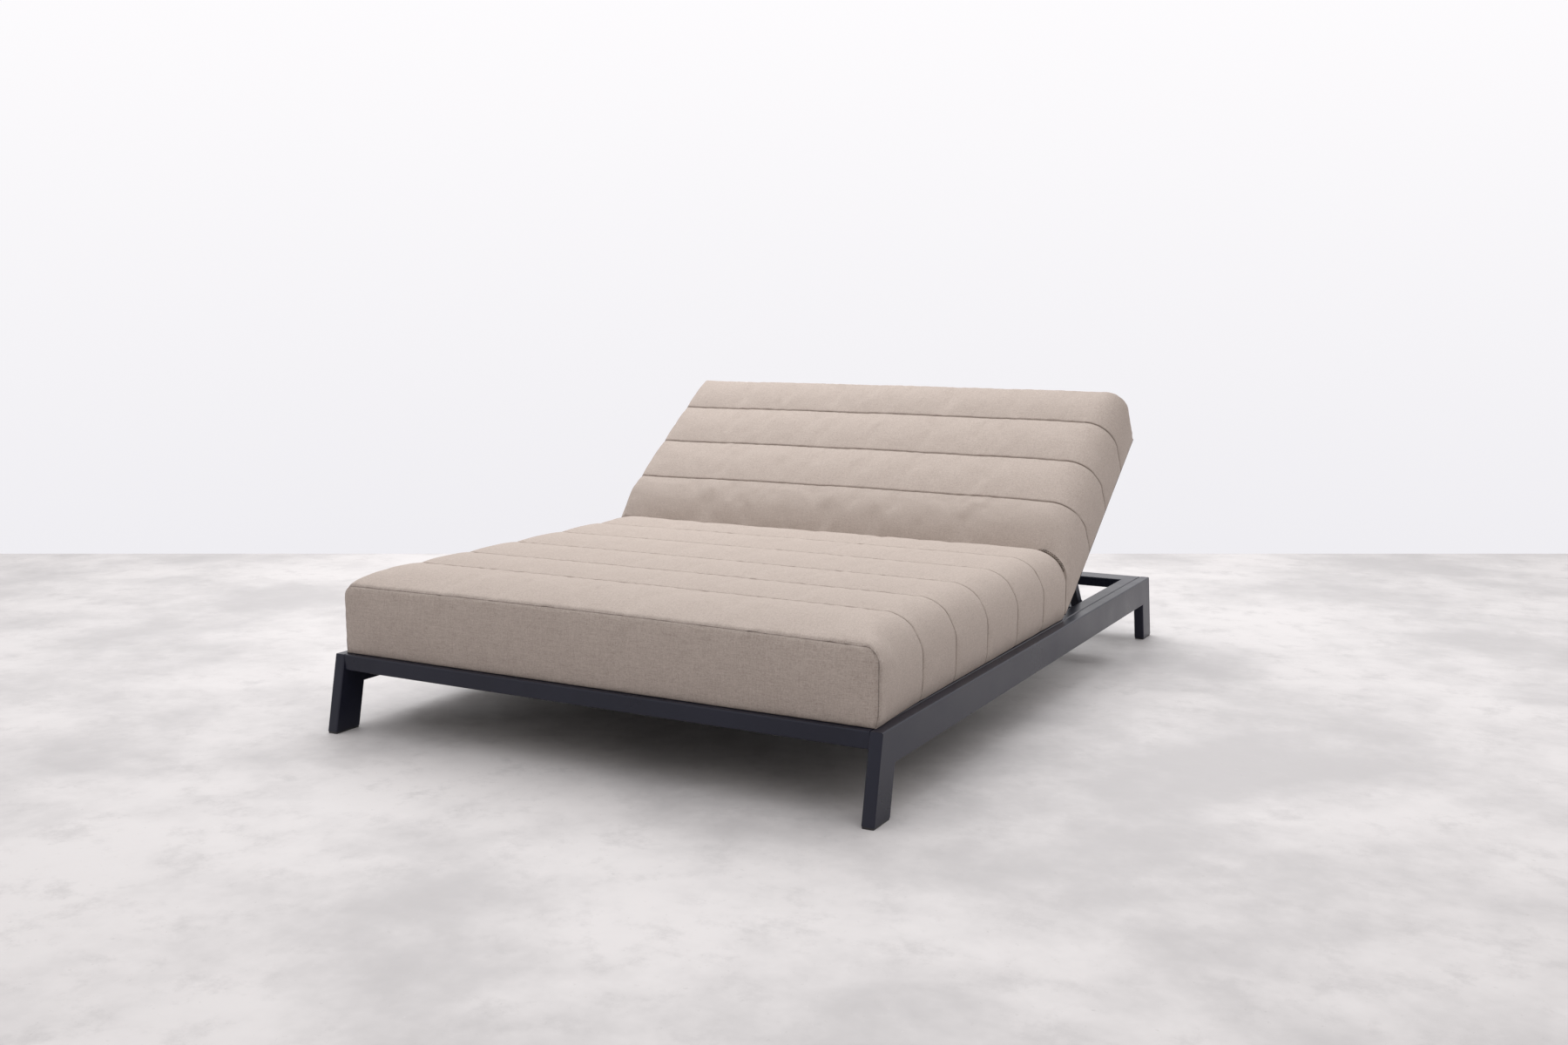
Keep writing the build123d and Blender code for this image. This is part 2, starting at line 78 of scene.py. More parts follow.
# Lengths closer than this are equal, and the distance kept for points that have no seam near them.
TINY = 1e-6
NO_SEAM = 0.02

Colour = tuple[float, float, float]
Point = tuple[float, float, float]
Socket = bpy.types.NodeSocket
Piece = bpy.types.Object
Material = bpy.types.Material


class Body(Enum):
    """The moving groups that scene.py's own pieces ride on."""

    BASE = "base_frame"
    BACK = "backrest"


class Slot(Enum):
    """The record's material slots."""

    POWDER = "powder_coat"
    NYLON = "black_plastic"
    RUBBER = "black_rubber"
    STEEL = "stainless_steel"
    FABRIC = "woven_fabric"
    LINING = "underside_mesh"


class Lay(Enum):
    """Which way a cushion lies: flat, or along the raised back."""

    FLAT = "flat"
    TILTED = "tilted"


# Finishes


class Nodes:
    """Short calls for adding and joining the nodes of one tree."""

    # Where the Mix node has its first, second and result sockets for each kind of value.
    mix_sockets = {"RGBA": (6, 7, 2), "FLOAT": (2, 3, 0)}

    def __init__(self, tree: bpy.types.NodeTree) -> None:
        """Keeps the tree."""
        self.tree = tree

    def node(self, kind: str, **settings: object) -> bpy.types.Node:
        """Adds a node.

        Args:
            kind: The node's type, without its leading word ShaderNode.
            settings: Properties to set on it.

        Returns:
            The node.
        """
        made = self.tree.nodes.new("ShaderNode" + kind)
        for key, value in settings.items():
            setattr(made, key, value)
        return made

    def feed(self, socket: Socket, value: Socket | Colour | float) -> None:
        """Joins an input to another node, or sets its number, vector or colour.

        Args:
            socket: The input.
            value: A socket, a number, a vector or a colour.
        """
        if isinstance(value, Socket):
            self.tree.links.new(value, socket)
        else:
            socket.default_value = (*value, 1.0) if socket.type == "RGBA" else value

    def place(self, kind: str = "Object") -> Socket:
        """The place on the object in metres, or another kind of coordinates."""
        return self.node("TexCoord").outputs[kind]

    def noise(self, vector: Socket, scale: float, detail: float = 2.0, rough: float = 0.6) -> Socket:
        """Adds a noise pattern.

        Args:
            vector: Where the pattern is read.
            scale: Features per metre of that vector.
            detail: Octaves.
            rough: Weight of the finer octaves.

        Returns:
            The pattern's value socket.
        """
        made = self.node("TexNoise")
        for name, value in zip(("Vector", "Scale", "Detail", "Roughness"), (vector, scale, detail, rough)):
            self.feed(made.inputs[name], value)
        return made.outputs["Fac"]

    def math(
        self, operation: str, first: Socket | float, second: Socket | Point | float = 0.0, kind: str = "Math",
        result: str = "Value",
    ) -> Socket:
        """Adds a calculation with two numbers or two vectors.

        Args:
            operation: The name of the calculation.
            first: A socket or a number.
            second: A socket, a number or a vector.
            kind: Math for numbers, VectorMath for vectors.
            result: Which result is wanted, Value or Vector.

        Returns:
            The result's socket.
        """
        made = self.node(kind, operation=operation)
        self.feed(made.inputs[0], first)
        self.feed(made.inputs[1], second)
        return made.outputs[result]

    def stretched(self, vector: Socket, scale: Point) -> Socket:
        """A vector with each part scaled by its own factor."""
        return self.math("MULTIPLY", vector, scale, "VectorMath", "Vector")

    def remap(
        self, value: Socket, low: float, high: float, to_low: float = 0.0, to_high: float = 1.0,
        way: str = "SMOOTHSTEP",
    ) -> Socket:
        """Maps a range of values to another, clamped.

        Args:
            value: The socket to map.
            low: Start of its range.
            high: End of its range.
            to_low: What the start becomes.
            to_high: What the end becomes.
            way: The kind of step between them.

        Returns:
            The mapped value's socket.
        """
        made = self.node("MapRange", interpolation_type=way)
        names = ("Value", "From Min", "From Max", "To Min", "To Max")
        for name, number in zip(names, (value, low, high, to_low, to_high)):
            self.feed(made.inputs[name], number)
        return made.outputs["Result"]

    def mix(
        self, share: Socket | float, first: Socket | Colour | float, second: Socket | Colour | float, kind: str = "RGBA"
    ) -> Socket:
        """Mixes two colours or two numbers.

        Args:
            share: How much of the second there is.
            first: A colour or number, or its socket.
            second: A colour or number, or its socket.
            kind: RGBA for colours, FLOAT for numbers.

        Returns:
            The mixed value's socket.
        """
        made = self.node("Mix", data_type=kind)
        low, high, result = self.mix_sockets[kind]
        for at, value in zip((0, low, high), (share, first, second)):
            self.feed(made.inputs[at], value)
        return made.outputs[result]

    def layered(self, base: Colour, layers: Iterable[tuple[Socket, float, float, float, Colour]]) -> Socket:
        """Lays colours over a first one, each where a pattern passes from one value to another.

        Args:
            base: The first colour.
            layers: Each layer's pattern, the values where it starts and is full, its share and its colour.

        Returns:
            The colour's socket.
        """
        tone = base
        for pattern, start, full, share, colour in layers:
            tone = self.mix(self.remap(pattern, start, full, 0.0, share), tone, colour)
        return tone


class Shader(Nodes):
    """A material's nodes, joined to its one surface."""

    def __init__(self, name: str) -> None:
        """Starts a material.

        Args:
            name: The material's name.
        """
        self.material = bpy.data.materials.new(name)
        self.material.use_nodes = True
        super().__init__(self.material.node_tree)
        self.surface = self.tree.nodes["Principled BSDF"]

    def attribute(self, name: str, part: str = "Fac") -> Socket:
        """Reads a named attribute of the mesh."""
        return self.node("Attribute", attribute_name=name).outputs[part]

    def set(self, **values: Socket | float) -> None:
        """Joins or sets the surface's inputs, by name with _ for a space."""
        for name, value in values.items():
            self.feed(self.surface.inputs[name.replace("_", " ")], value)

    def bump(self, height: Socket, depth: float, strength: float) -> None:
        """Joins a height pattern to the surface.

        Args:
            height: The pattern, from 0 to 1.
            depth: Its real depth in metres.
            strength: How much of it shows.
        """
        made = self.node("Bump")
        for name, value in zip(("Height", "Distance", "Strength"), (height, depth, strength)):
            self.feed(made.inputs[name], value)
        self.set(Normal=made.outputs["Normal"])


@dataclass(frozen=True)
class WovenFabric:
    """Taupe outdoor cloth with lighter and darker slubs both ways of the weave, a painted shade line in and beside each
    seam, and a painted highlight on the raised lip of each seam.

    The mesh gives cloth, a place on the cloth in metres, seam, the distance from a seam, and lip, which is 1 on
    the side of a seam that stands up a little, 0 on the other side and -1 along an end panel.
    """

    name: str = "woven_taupe"
    body: Colour = (0.452, 0.389, 0.349)
    pale: Colour = (0.572, 0.504, 0.462)
    dark: Colour = (0.316, 0.261, 0.233)
    # Painted shade: the dark colour laid into and beside each seam groove.
    groove: Colour = (0.10, 0.079, 0.069)
    # Painted highlight: the pale colour on the raised lip beside each seam.
    lip_highlight: Colour = (0.66, 0.58, 0.535)
    yarn: tuple[float, float] = (120.0, 640.0)
    slub: tuple[float, float] = (26.0, 330.0)
    thread: float = 0.0011
    lip_highlight_share: float = 0.40
    shade_share: float = 0.14
    seam_shade_share: float = 0.26
    end_seam_shade_share: float = 0.88
    depth: float = 0.0007

    def streaks(self, s: Shader, cloth: Socket, ways: tuple[float, float]) -> Socket:
        """Noise stretched along the cloth, by its features per metre along and across."""
        return s.noise(s.stretched(cloth, (*ways, 1.0)), 1.0)

    def weave(self, s: Shader, cloth: Socket) -> Socket:
        """The crossing of warp and weft, as a height."""
        split = s.node("SeparateXYZ")
        s.feed(split.inputs[0], cloth)
        turns = 2 * math.pi / self.thread
        warp, weft = (s.math("SINE", s.math("MULTIPLY", split.outputs[axis], turns)) for axis in "XY")
        return s.math("MULTIPLY", s.math("MULTIPLY", warp, weft), 0.35)

    def sewn(self, s: Shader, tone: Socket) -> Socket:
        """Adds the seams' painted highlight on the lip, painted soft shade and painted dark shade line to the cloth's
        colour.

        Args:
            s: The material's nodes.
            tone: The cloth's colour.

        Returns:
            The colour's socket.
        """
        away, side = s.attribute("seam"), s.attribute("lip")
        # Painted highlight: a pale band 1.4 to 5.8 mm from a seam, on its raised side only.
        raised = s.math("MULTIPLY", s.remap(away, 0.0014, 0.0026), s.remap(away, 0.0038, 0.0058, 1.0, 0.0))
        raised = s.math("MULTIPLY", raised, s.math("MAXIMUM", side, 0.0))
        tone = s.mix(s.math("MULTIPLY", raised, self.lip_highlight_share), tone, self.lip_highlight)
        # Painted shade: a soft darkening within 7 mm of each seam.
        tone = s.mix(s.remap(away, 0.0015, 0.0070, self.shade_share, 0.0), tone, self.groove)
        # Painted shade: a dark line along each seam, stronger along the end panels.
        share = s.remap(side, 0.0, -1.0, self.seam_shade_share, self.end_seam_shade_share)
        return s.mix(s.math("MULTIPLY", s.remap(away, 0.0004, 0.0020, 1.0, 0.0), share), tone, self.groove)

    def material(self) -> Material:
        """Builds the cloth.

        Returns:
            The material.
        """
        s = Shader(self.name)
        cloth = s.attribute("cloth", "Vector")
        along, across, long_slub, tall_slub = (
            self.streaks(s, cloth, ways) for ways in (self.yarn, self.yarn[::-1], self.slub, self.slub[::-1])
        )
        grain = s.noise(cloth, 360.0)
        fine = s.noise(cloth, 1100.0, rough=0.7)
        tone = s.layered(self.body, (
            (along, 0.52, 0.74, 0.62, self.pale),
            (across, 0.52, 0.74, 0.50, self.pale),
            (along, 0.47, 0.28, 0.52, self.dark),
            (across, 0.47, 0.28, 0.42, self.dark),
            (grain, 0.46, 0.30, 0.50, self.dark),
            (grain, 0.54, 0.70, 0.42, self.pale),
            (long_slub, 0.53, 0.72, 0.25, self.pale),
            (long_slub, 0.47, 0.29, 0.25, self.dark),
            (tall_slub, 0.53, 0.72, 0.20, self.pale),
            (tall_slub, 0.47, 0.29, 0.20, self.dark),
            (s.noise(cloth, 7.0, rough=0.5), 0.35, 0.65, 0.06, self.dark),
        ))
        height = s.math("ADD", s.math("ADD", along, across), s.math("ADD", grain, self.weave(s, cloth)))
        s.bump(height, self.depth, 0.5)
        s.set(Base_Color=self.sewn(s, tone), Roughness=s.remap(fine, 0.3, 0.7, 0.78, 0.92))
        s.set(Sheen_Weight=0.06, Sheen_Roughness=0.45, Specular_IOR_Level=0.15)
        return s.material


@dataclass(frozen=True)
class PowderCoat:
    """Fine matt anthracite powder coat."""

    name: str = "anthracite_powder"
    body: Colour = (0.0098, 0.0110, 0.0225)
    worn: Colour = (0.0123, 0.0136, 0.0265)

    def material(self) -> Material:
        """Builds the coating.

        Returns:
            The material.
        """
        s = Shader(self.name)
        cloud = s.noise(s.place(), 7.0, 3.0)
        s.set(Base_Color=s.mix(s.remap(cloud, 0.35, 0.65), self.body, self.worn))
        s.set(Roughness=s.remap(cloud, 0.3, 0.7, 0.27, 0.34), Specular_IOR_Level=0.28)
        s.bump(s.noise(s.place(), 1500.0), 0.00012, 0.3)
        return s.material


@dataclass(frozen=True)
class Moulding:
    """Moulded nylon or rubber, with a fine spark texture."""

    name: str
    body: Colour
    roughness: float
    uneven: float = 0.06

    def material(self) -> Material:
        """Builds the moulding.

        Returns:
            The material.
        """
        s = Shader(self.name)
        tone = s.noise(s.place(), 60.0, 3.0)
        lighter = tuple(1.6 * c for c in self.body)
        s.set(Base_Color=s.mix(s.remap(tone, 0.35, 0.65), self.body, lighter))
        s.set(Roughness=s.remap(tone, 0.3, 0.7, self.roughness - self.uneven, self.roughness + self.uneven))
        s.bump(s.noise(s.place(), 2200.0), 0.0001, 0.5)
        return s.material


@dataclass(frozen=True)
class TurnedSteel:
    """Turned stainless steel, brushed round the X axis."""

    name: str = "turned_steel"
    body: Colour = (0.50, 0.50, 0.49)
    dull: Colour = (0.40, 0.40, 0.40)
    lines: Point = (2600.0, 60.0, 60.0)

    def material(self) -> Material:
        """Builds the steel.

        Returns:
            The material.
        """
        s = Shader(self.name)
        lines = s.noise(s.stretched(s.place(), self.lines), 1.0)
        s.set(Base_Color=s.mix(s.remap(lines, 0.3, 0.7), self.body, self.dull))
        s.set(Roughness=s.remap(lines, 0.3, 0.7, 0.26, 0.42), Metallic=1.0)
        s.bump(lines, 0.00005, 0.4)
        return s.material


@dataclass(frozen=True)
class MeshLining:
    """Dark lining cloth with small open cells, under both cushions."""

    name: str = "mesh_lining"
    body: Colour = (0.028, 0.028, 0.032)
    hole: Colour = (0.004, 0.004, 0.005)
    cell: float = 0.0032

    def material(self) -> Material:
        """Builds the lining.

        Returns:
            The material.
        """
        s = Shader(self.name)
        cells = s.node("TexVoronoi", feature="F1", voronoi_dimensions="3D")
        for name, value in zip(("Vector", "Scale", "Randomness"), (s.place(), 1.0 / self.cell, 0.15)):
            s.feed(cells.inputs[name], value)
        middle = cells.outputs["Distance"]
        s.set(Base_Color=s.mix(s.remap(middle, 0.22, 0.38, 1.0, 0.0), self.body, self.hole))
        s.bump(s.remap(middle, 0.2, 0.42), 0.0006, 0.8)
        s.set(Roughness=0.8, Specular_IOR_Level=0.2)
        return s.material


@dataclass(frozen=True)
class Concrete:
    """Pale smooth concrete, cloudy, with small darker and lighter specks."""

    name: str = "pale_concrete"
    body: Colour = (0.642, 0.624, 0.626)
    cloud: Colour = (0.485, 0.472, 0.477)
    speck: Colour = (0.410, 0.396, 0.396)

    def material(self) -> Material:
        """Builds the concrete.

        Returns:
            The material.
        """
        s = Shader(self.name)
        patch = s.noise(s.place(), 8.0, 7.0, 0.72)
        grit = s.noise(s.place(), 70.0, 4.0, 0.65)
        tone = s.layered(self.body, (
            (s.noise(s.place(), 1.1, 6.0, 0.66), 0.38, 0.64, 1.0, self.cloud),
            (patch, 0.50, 0.70, 0.60, self.cloud),
            (grit, 0.62, 0.74, 0.40, self.speck),
            (grit, 0.36, 0.26, 0.40, self.body),
        ))
        s.set(Base_Color=tone, Roughness=s.remap(patch, 0.3, 0.7, 0.48, 0.62), Specular_IOR_Level=0.2)
        s.bump(grit, 0.0004, 0.25)
        return s.material


# Meshes


class Net:
    """The points and faces of a mesh while it is made, with what is kept of each point."""

    def __init__(self) -> None:
        """Starts with nothing."""
        self.points: list[np.ndarray] = []
        self.faces: list[tuple[int, ...]] = []
        self.facts: dict[str, list[np.ndarray]] = {}
        self.count = 0

    def add(self, points: np.ndarray, **facts: np.ndarray | float) -> np.ndarray:
        """Adds points.

        Args:
            points: The points, one per row.
            facts: What is kept of them, by name, as one value for each or one for all.

        Returns:
            The points' numbers.
        """
        self.points.append(points)
        for name, value in facts.items():
            kept = value.astype(float) if isinstance(value, np.ndarray) else np.full(len(points), value)
            self.facts.setdefault(name, []).append(kept)
        self.count += len(points)
        return np.arange(self.count - len(points), self.count)

    def strip(self, first: Sequence[int], second: Sequence[int]) -> None:
        """Joins two rows of point numbers with quads."""
        self.faces += [tuple(int(n) for n in quad) for quad in zip(first, first[1:], second[1:], second)]

    def rod(self, rings: Sequence[np.ndarray]) -> None:
        """Joins closed rings of point numbers to a rod with both ends closed."""
        for first, second in zip(rings, rings[1:]):
            self.strip(np.append(first, first[0]), np.append(second, second[0]))
        self.faces += [tuple(int(n) for n in ring) for ring in (rings[0][::-1], rings[-1])]

    def piece(self, name: str) -> Piece:
        """Makes the mesh with its attributes, and its object.

        Args:
            name: The piece's name.

        Returns:
            The object.
        """
        mesh = bpy.data.meshes.new(name)
        mesh.from_pydata(np.concatenate(self.points).tolist(), [], self.faces)
        mesh.validate()
        for fact, parts in self.facts.items():
            values = np.concatenate(parts)
            kind, key = ("FLOAT_VECTOR", "vector") if values.ndim > 1 else ("FLOAT", "value")
            mesh.attributes.new(fact, kind, "POINT").data.foreach_set(key, values.ravel())
        made = bpy.data.objects.new(name, mesh)
        bpy.context.scene.collection.objects.link(made)
        return made


def refine(piece: Piece) -> None:
    """Halves a piece's faces, keeps the result and shades it smooth.

    Args:
        piece: The object, whose mesh is replaced.
    """
    finer = piece.modifiers.new("finer", "SUBSURF")
    finer.levels = finer.render_levels = 1
    made = bpy.data.meshes.new_from_object(piece.evaluated_get(bpy.context.evaluated_depsgraph_get()))
    piece.modifiers.remove(finer)
    old, piece.data = piece.data, made
    bpy.data.meshes.remove(old)
    made.name = piece.name
    made.shade_smooth()


def read(source: bpy.types.bpy_prop_collection, key: str, size: int) -> np.ndarray:
    """Reads one property of every item of a mesh.

    Args:
        source: The items.
        key: The property's name.
        size: How many numbers it has.

    Returns:
        One row for each item, or one number for each where the size is 1.
    """
    values = np.empty(len(source) * size, np.float32)
    source.foreach_get(key, values)
    return values.reshape(-1, size).astype(float) if size > 1 else values


def ripple(place: np.ndarray, length: float, phase: float) -> np.ndarray:
    """A smooth uneven wave between about minus one and one, the same on each run.

    Args:
        place: Where it is read, in metres.
        length: Its main wavelength in metres.
        phase: Shifts it, so that two waves differ.

    Returns:
        The wave at each place.
    """
    turn = 2 * math.pi * place / length
    return (
        0.5 * np.sin(turn + phase) + 0.3 * np.sin(1.73 * turn + 2.1 * phase) + 0.2 * np.sin(2.9 * turn + 3.7 * phase)
    )


# Cushions


class Fold:
    """The fold between the two cushions: the rims, reaches and share that set where a piece near it would stretch."""

    seat_rim = 0.2505
    back_rim = 0.2545
    share = 0.35
    seat_reach = 0.100
    back_reach = 0.030

    @classmethod
    def step(cls) -> float:
        """Where a smooth step from nought to one reaches the fold's share.

        Returns:
            The place between 0 and 1.
        """
        low, high = 0.0, 1.0
        for _ in range(40):
            middle = (low + high) / 2
            low, high = (middle, high) if middle * middle * (3 - 2 * middle) < cls.share else (low, middle)
        return (low + high) / 2

    @classmethod
    def bend(cls, piece: Piece, lay: Lay) -> None:
        """Works out where a piece would stretch at the fold, and bakes the piece's placement into its mesh.

        Args:
            piece: The piece.
            lay: Flat for the seat or tilted for the back, which sets where the stretch would start and end.
        """
        if lay is Lay.FLAT:
            start = cls.seat_rim - cls.seat_reach
            end = start + cls.seat_reach / cls.step()
        else:
            end = cls.back_rim + cls.back_reach
            start = end - cls.back_reach / (1 - cls.step())
        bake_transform(piece)


@dataclass
class Station:
    """A cushion's cross section at one place along it, in metres."""

    place: float
    left: float
    right: float
    top: float
    crown: float
    left_radius: float
    right_radius: float


@dataclass
class Shell:
    """A cushion cover as rows of cloth over the top and sides, with a panel at each end and a flat underside.

    Puff swells a channel, tuck draws the foot of a side in, cap is an end panel, lean tips the first rows over, roll
    drops the top towards an end, hold keeps the left edge out of it, and hem lifts the underside inside its rim.
    """

    name: str
    stations: list[Station]
    seams: list[float]
    base: float
    lay: Lay
    puff: float = 0.0045
    side_puff: float = 0.001
    left_tuck: float = 0.002
    right_tuck: float = 0.006
    hem: float = 0.0
    side_steps: int = 12
    corner_steps: int = 12
    top_steps: int = 96
    side_power: float = 1.7
    tuck_share: float = 0.3
    near_seam: tuple[float, ...] = (0.0012, 0.0026, 0.0045, 0.008)
    row_shares: tuple[float, ...] = (0.16, 0.27, 0.40, 0.55, 0.72, 0.86)
    cap_puff: float = 0.006
    cap_round: float = 0.05
    cap_loops: tuple[float, ...] = (0.0016, 0.004, 0.008)
    cap_cloth: float = 0.37
    cap_seam_share: float = 0.55
    low_lean: float = 0.0
    low_lean_power: float = 1.15
    low_roll: float = 0.0
    low_roll_power: float = 2.4
    high_roll: float = 0.0
    high_roll_share: float = 0.35
    left_hold: float = 0.0
    hold_from: float = -0.45
    hold_width: float = 0.25
    full_height: float = 0.06
    wander: float = 0.0016
    hem_start: float = 0.0035
    hem_width: float = 0.004

    def folded(self, end: int) -> bool:
        """Whether an end, 0 for the first and 1 for the last, is the one in the fold between the cushions."""
        return (end == 0) is (self.lay is Lay.TILTED)

    def places(self) -> np.ndarray:
        """Every row's place along the cushion, close together beside the seams.

        Returns:
            The places in order.
        """
        rows: list[float] = []
        for low, high in zip(self.seams, self.seams[1:]):
            half = (high - low) / 2
            near = [*self.near_seam, *(half * share for share in self.row_shares)]
            rows += [low] + [low + step for step in near] + [low + half] + [high - step for step in reversed(near)]
        return np.array(rows + [self.seams[-1]])

    def sections(self, rows: np.ndarray) -> tuple[np.ndarray, np.ndarray]:
        """Cross and height of each point of each row, before any swelling.

        Args:
            rows: The rows' places.

        Returns:
            Two arrays, rows by columns.
        """
        table = np.array([
            [s.place, s.left, s.right, s.top, s.crown, s.left_radius, s.right_radius] for s in self.stations
        ])
        left, right, top, crown, r_left, r_right = (
            np.interp(rows, table[:, 0], table[:, i])[:, None] for i in range(1, 7)
        )
        up = np.linspace(0, 1, self.side_steps + 1)[None, :] ** self.side_power
        bend = np.linspace(0, 1, self.corner_steps + 1)[None, 1:] * (math.pi / 2)
        over = np.linspace(0, 1, self.top_steps + 1)[None, 1:]
        tuck = np.clip(1 - up / self.tuck_share, 0, 1) ** 2
        x_parts = [
            left + self.left_tuck * tuck,
            left + r_left * (1 - np.cos(bend)),
            left + r_left + (right - r_right - left - r_left) * over,
            right - r_right * (1 - np.sin(bend)),
            (right - self.right_tuck * tuck)[:, ::-1][:, 1:],
        ]
        h_parts = [
            self.base + (top - r_left - self.base) * up,
            top - r_left + r_left * np.sin(bend),
            top + crown * (1 - (2 * over - 1) ** 2),
            top - r_right + r_right * np.cos(bend),
            (self.base + (top - r_right - self.base) * up)[:, ::-1][:, 1:],
        ]
        return np.concatenate(x_parts, 1), np.concatenate(h_parts, 1)

    def swell(self, rows: np.ndarray) -> tuple[np.ndarray, np.ndarray, np.ndarray]:
        """How full each row is between its two seams, and how far it is from the nearer one.

        Args:
            rows: The rows' places.

        Returns:
            Fullness from 0 to 1, distance in metres, and the lip: 1 where the nearer seam is the one above, 0
            where it is the one below, and -1 at an end panel.
        """
        seams = np.array(self.seams)
        index = np.clip(np.searchsorted(seams, rows, side="right") - 1, 0, len(seams) - 2)
        low, high = seams[index], seams[index + 1]
        share = (rows - low) / (high - low)
        first, last = index == 0, index == len(seams) - 2
        to_low = np.where(first & self.folded(0), 1.0, rows - low)
        to_low = np.where(first & self.folded(1), self.cap_seam_share * to_low, to_low)
        to_high = np.where(last & self.folded(1), 1.0, high - rows)
        away = np.minimum(to_low, to_high)
        lip = np.where(np.isclose(away, 0), 0.5, (share > 0.5).astype(float))
        for end in (0, 1):
            lip[-end] = 0.5 if self.folded(end) else -1.0
        return np.sin(math.pi * np.clip(share, 0, 1)) ** 0.7, away, lip

    def world(self, x: np.ndarray, s: np.ndarray, h: np.ndarray) -> np.ndarray:
        """Points of the cushion's own frame in the lounger's frame.

        Args:
            x: Across.
            s: Along.
            h: Up.

        Returns:
            The points, with their three coordinates last.
        """
        if self.lay is Lay.FLAT:
            return np.stack([x, s, h], -1)
        cos, sin = math.cos(RECLINE), math.sin(RECLINE)
        return np.stack([x, HINGE[0] + s * cos - h * sin, HINGE[1] + s * sin + h * cos], -1)

    def tube(self) -> tuple[np.ndarray, np.ndarray, np.ndarray, np.ndarray, np.ndarray]:
        """The cloth over the top and sides.

        Returns:
            Across, along and up for each point, and each row's distance from a seam and lip.
        """
        rows = self.places()
        x, h = self.sections(rows)
        full, away, lip = self.swell(rows)
        dx, dh = np.gradient(x, axis=1), np.gradient(h, axis=1)
        length = np.sqrt(dx * dx + dh * dh) + 1e-9
        out_x, out_h = -dh / length, dx / length
        rise = np.clip(out_h, 0, 1) ** 1.5
        puff = self.side_puff + (self.puff - self.side_puff) * rise
        lift = np.clip((h - self.base) / self.full_height, 0, 1)
        uneven = 1 + 0.16 * ripple(x, 0.55, 1.3) + 0.12 * ripple(rows[:, None] + 0.3 * x, 0.9, 2.2)
        amount = puff * full[:, None] * uneven * (0.4 + 0.6 * lift)
        x = x + out_x * amount
        h = h + out_h * amount
        from_low = 1 - np.clip((rows - self.seams[0]) / (self.seams[1] - self.seams[0]), 0, 1)
        to_end = np.clip((self.seams[-1] - rows) / (self.seams[-1] - self.seams[-2]), 0, 1)
        roll = self.low_roll * from_low**self.low_roll_power
        roll = roll + self.high_roll * np.clip(1 - to_end / self.high_roll_share, 0, 1) ** 2
        span = np.clip((h - self.base) / (h.max(1, keepdims=True) - self.base), 0, 1)
        held = 1 - self.left_hold * np.clip((self.hold_from - x) / self.hold_width, 0, 1)
        h = h - roll[:, None] * held * span**2
        lean = self.low_lean * from_low**self.low_lean_power
        inner = np.ones(len(rows))
        inner[[0, -1]] = 0
        wander = self.wander * ripple(x, 0.42, 0.7) * inner[:, None]
        s = rows[:, None] + lean[:, None] * (h - self.base) + wander * rise
        return x, s, h, away, lip

    def cap(self, ring: np.ndarray, puff: float) -> tuple[list[np.ndarray], np.ndarray]:
        """An end panel inside a row's outline.

        Args:
            ring: The row's points in across and up.
            puff: How far the panel's middle stands out.

        Returns:
            The loops just inside it, and the grid that fills the last one, each with across, up and outward
            distance.
        """
        step = np.gradient(ring, axis=0)
        step /= np.linalg.norm(step, axis=1, keepdims=True) + 1e-9
        inward = np.stack([step[:, 1], -step[:, 0]], -1)
        inward[0], inward[-1] = (1, 0), (-1, 0)
        loops = []
        for inset in self.cap_loops:
            flat = ring + inward * inset
            loops.append(np.column_stack([flat, np.full(len(flat), puff * (inset / self.cap_round) ** 0.6)]))
        edge = loops[-1][:, :2]
        a = self.side_steps + self.corner_steps // 2
        across = len(edge) - 1 - 2 * a
        left, right, top = edge[: a + 1], edge[::-1][: a + 1], edge[a : a + across + 1]
        u = np.linspace(0, 1, across + 1)[:, None, None]
        v = np.linspace(0, 1, a + 1)[None, :, None]
        bottom = left[0] + (right[0] - left[0]) * np.linspace(0, 1, across + 1)[:, None]
        grid = (
            (1 - u) * left[None] + u * right[None] + (1 - v) * bottom[:, None] + v * top[:, None]
            - (1 - u) * (1 - v) * left[0] - u * (1 - v) * right[0] - (1 - u) * v * left[-1] - u * v * right[-1]
        )
        width = np.linalg.norm(right[0] - left[0])
        height = top[:, 1].max() - bottom[:, 1].min()
        rim = self.cap_loops[-1]
        near = np.minimum(np.minimum(u[..., 0], 1 - u[..., 0]) * width, (1 - v[..., 0]) * height) + rim
        near = np.minimum(near, v[..., 0] * height * 1.2 + rim)
        out = puff * np.clip(near / self.cap_round, 0, 1) ** 0.6
        out = out * (1 + 0.15 * ripple(grid[..., 0], 0.5, 0.4))
        return loops, np.concatenate([grid, out[..., None]], -1)

    def close_end(self, net: Net, end: int, outer: np.ndarray, ring: np.ndarray) -> tuple[list[int], list[float]]:
        """Adds an end panel.

        Args:
            net: The mesh being made.
            end: 0 for the first end, 1 for the last.
            outer: The end row's point numbers.
            ring: Its points in across and up.

        Returns:
            The numbers of the points along the panel's lower edge, and their places across.
        """
        row, way = self.seams[-end], 2 * end - 1
        lean = self.low_lean * (end == 0)
        puff = 0.0 if self.folded(end) else self.cap_puff
        loops, grid = self.cap(ring, puff)

        def add(part: np.ndarray, seam: float, lip: float) -> np.ndarray:
            """Adds points of the panel, the lowest ones pinned, and all where it lies in the fold."""
            along = row + lean * (part[:, 1] - self.base) + way * part[:, 2]
            cloth = np.column_stack([part[:, :2], np.full(len(part), self.cap_cloth)])
            pin = (np.abs(part[:, 1] - self.base) < TINY) | (puff == 0)
            return net.add(self.world(part[:, 0], along, part[:, 1]), cloth=cloth, seam=seam, lip=lip, pin=pin)

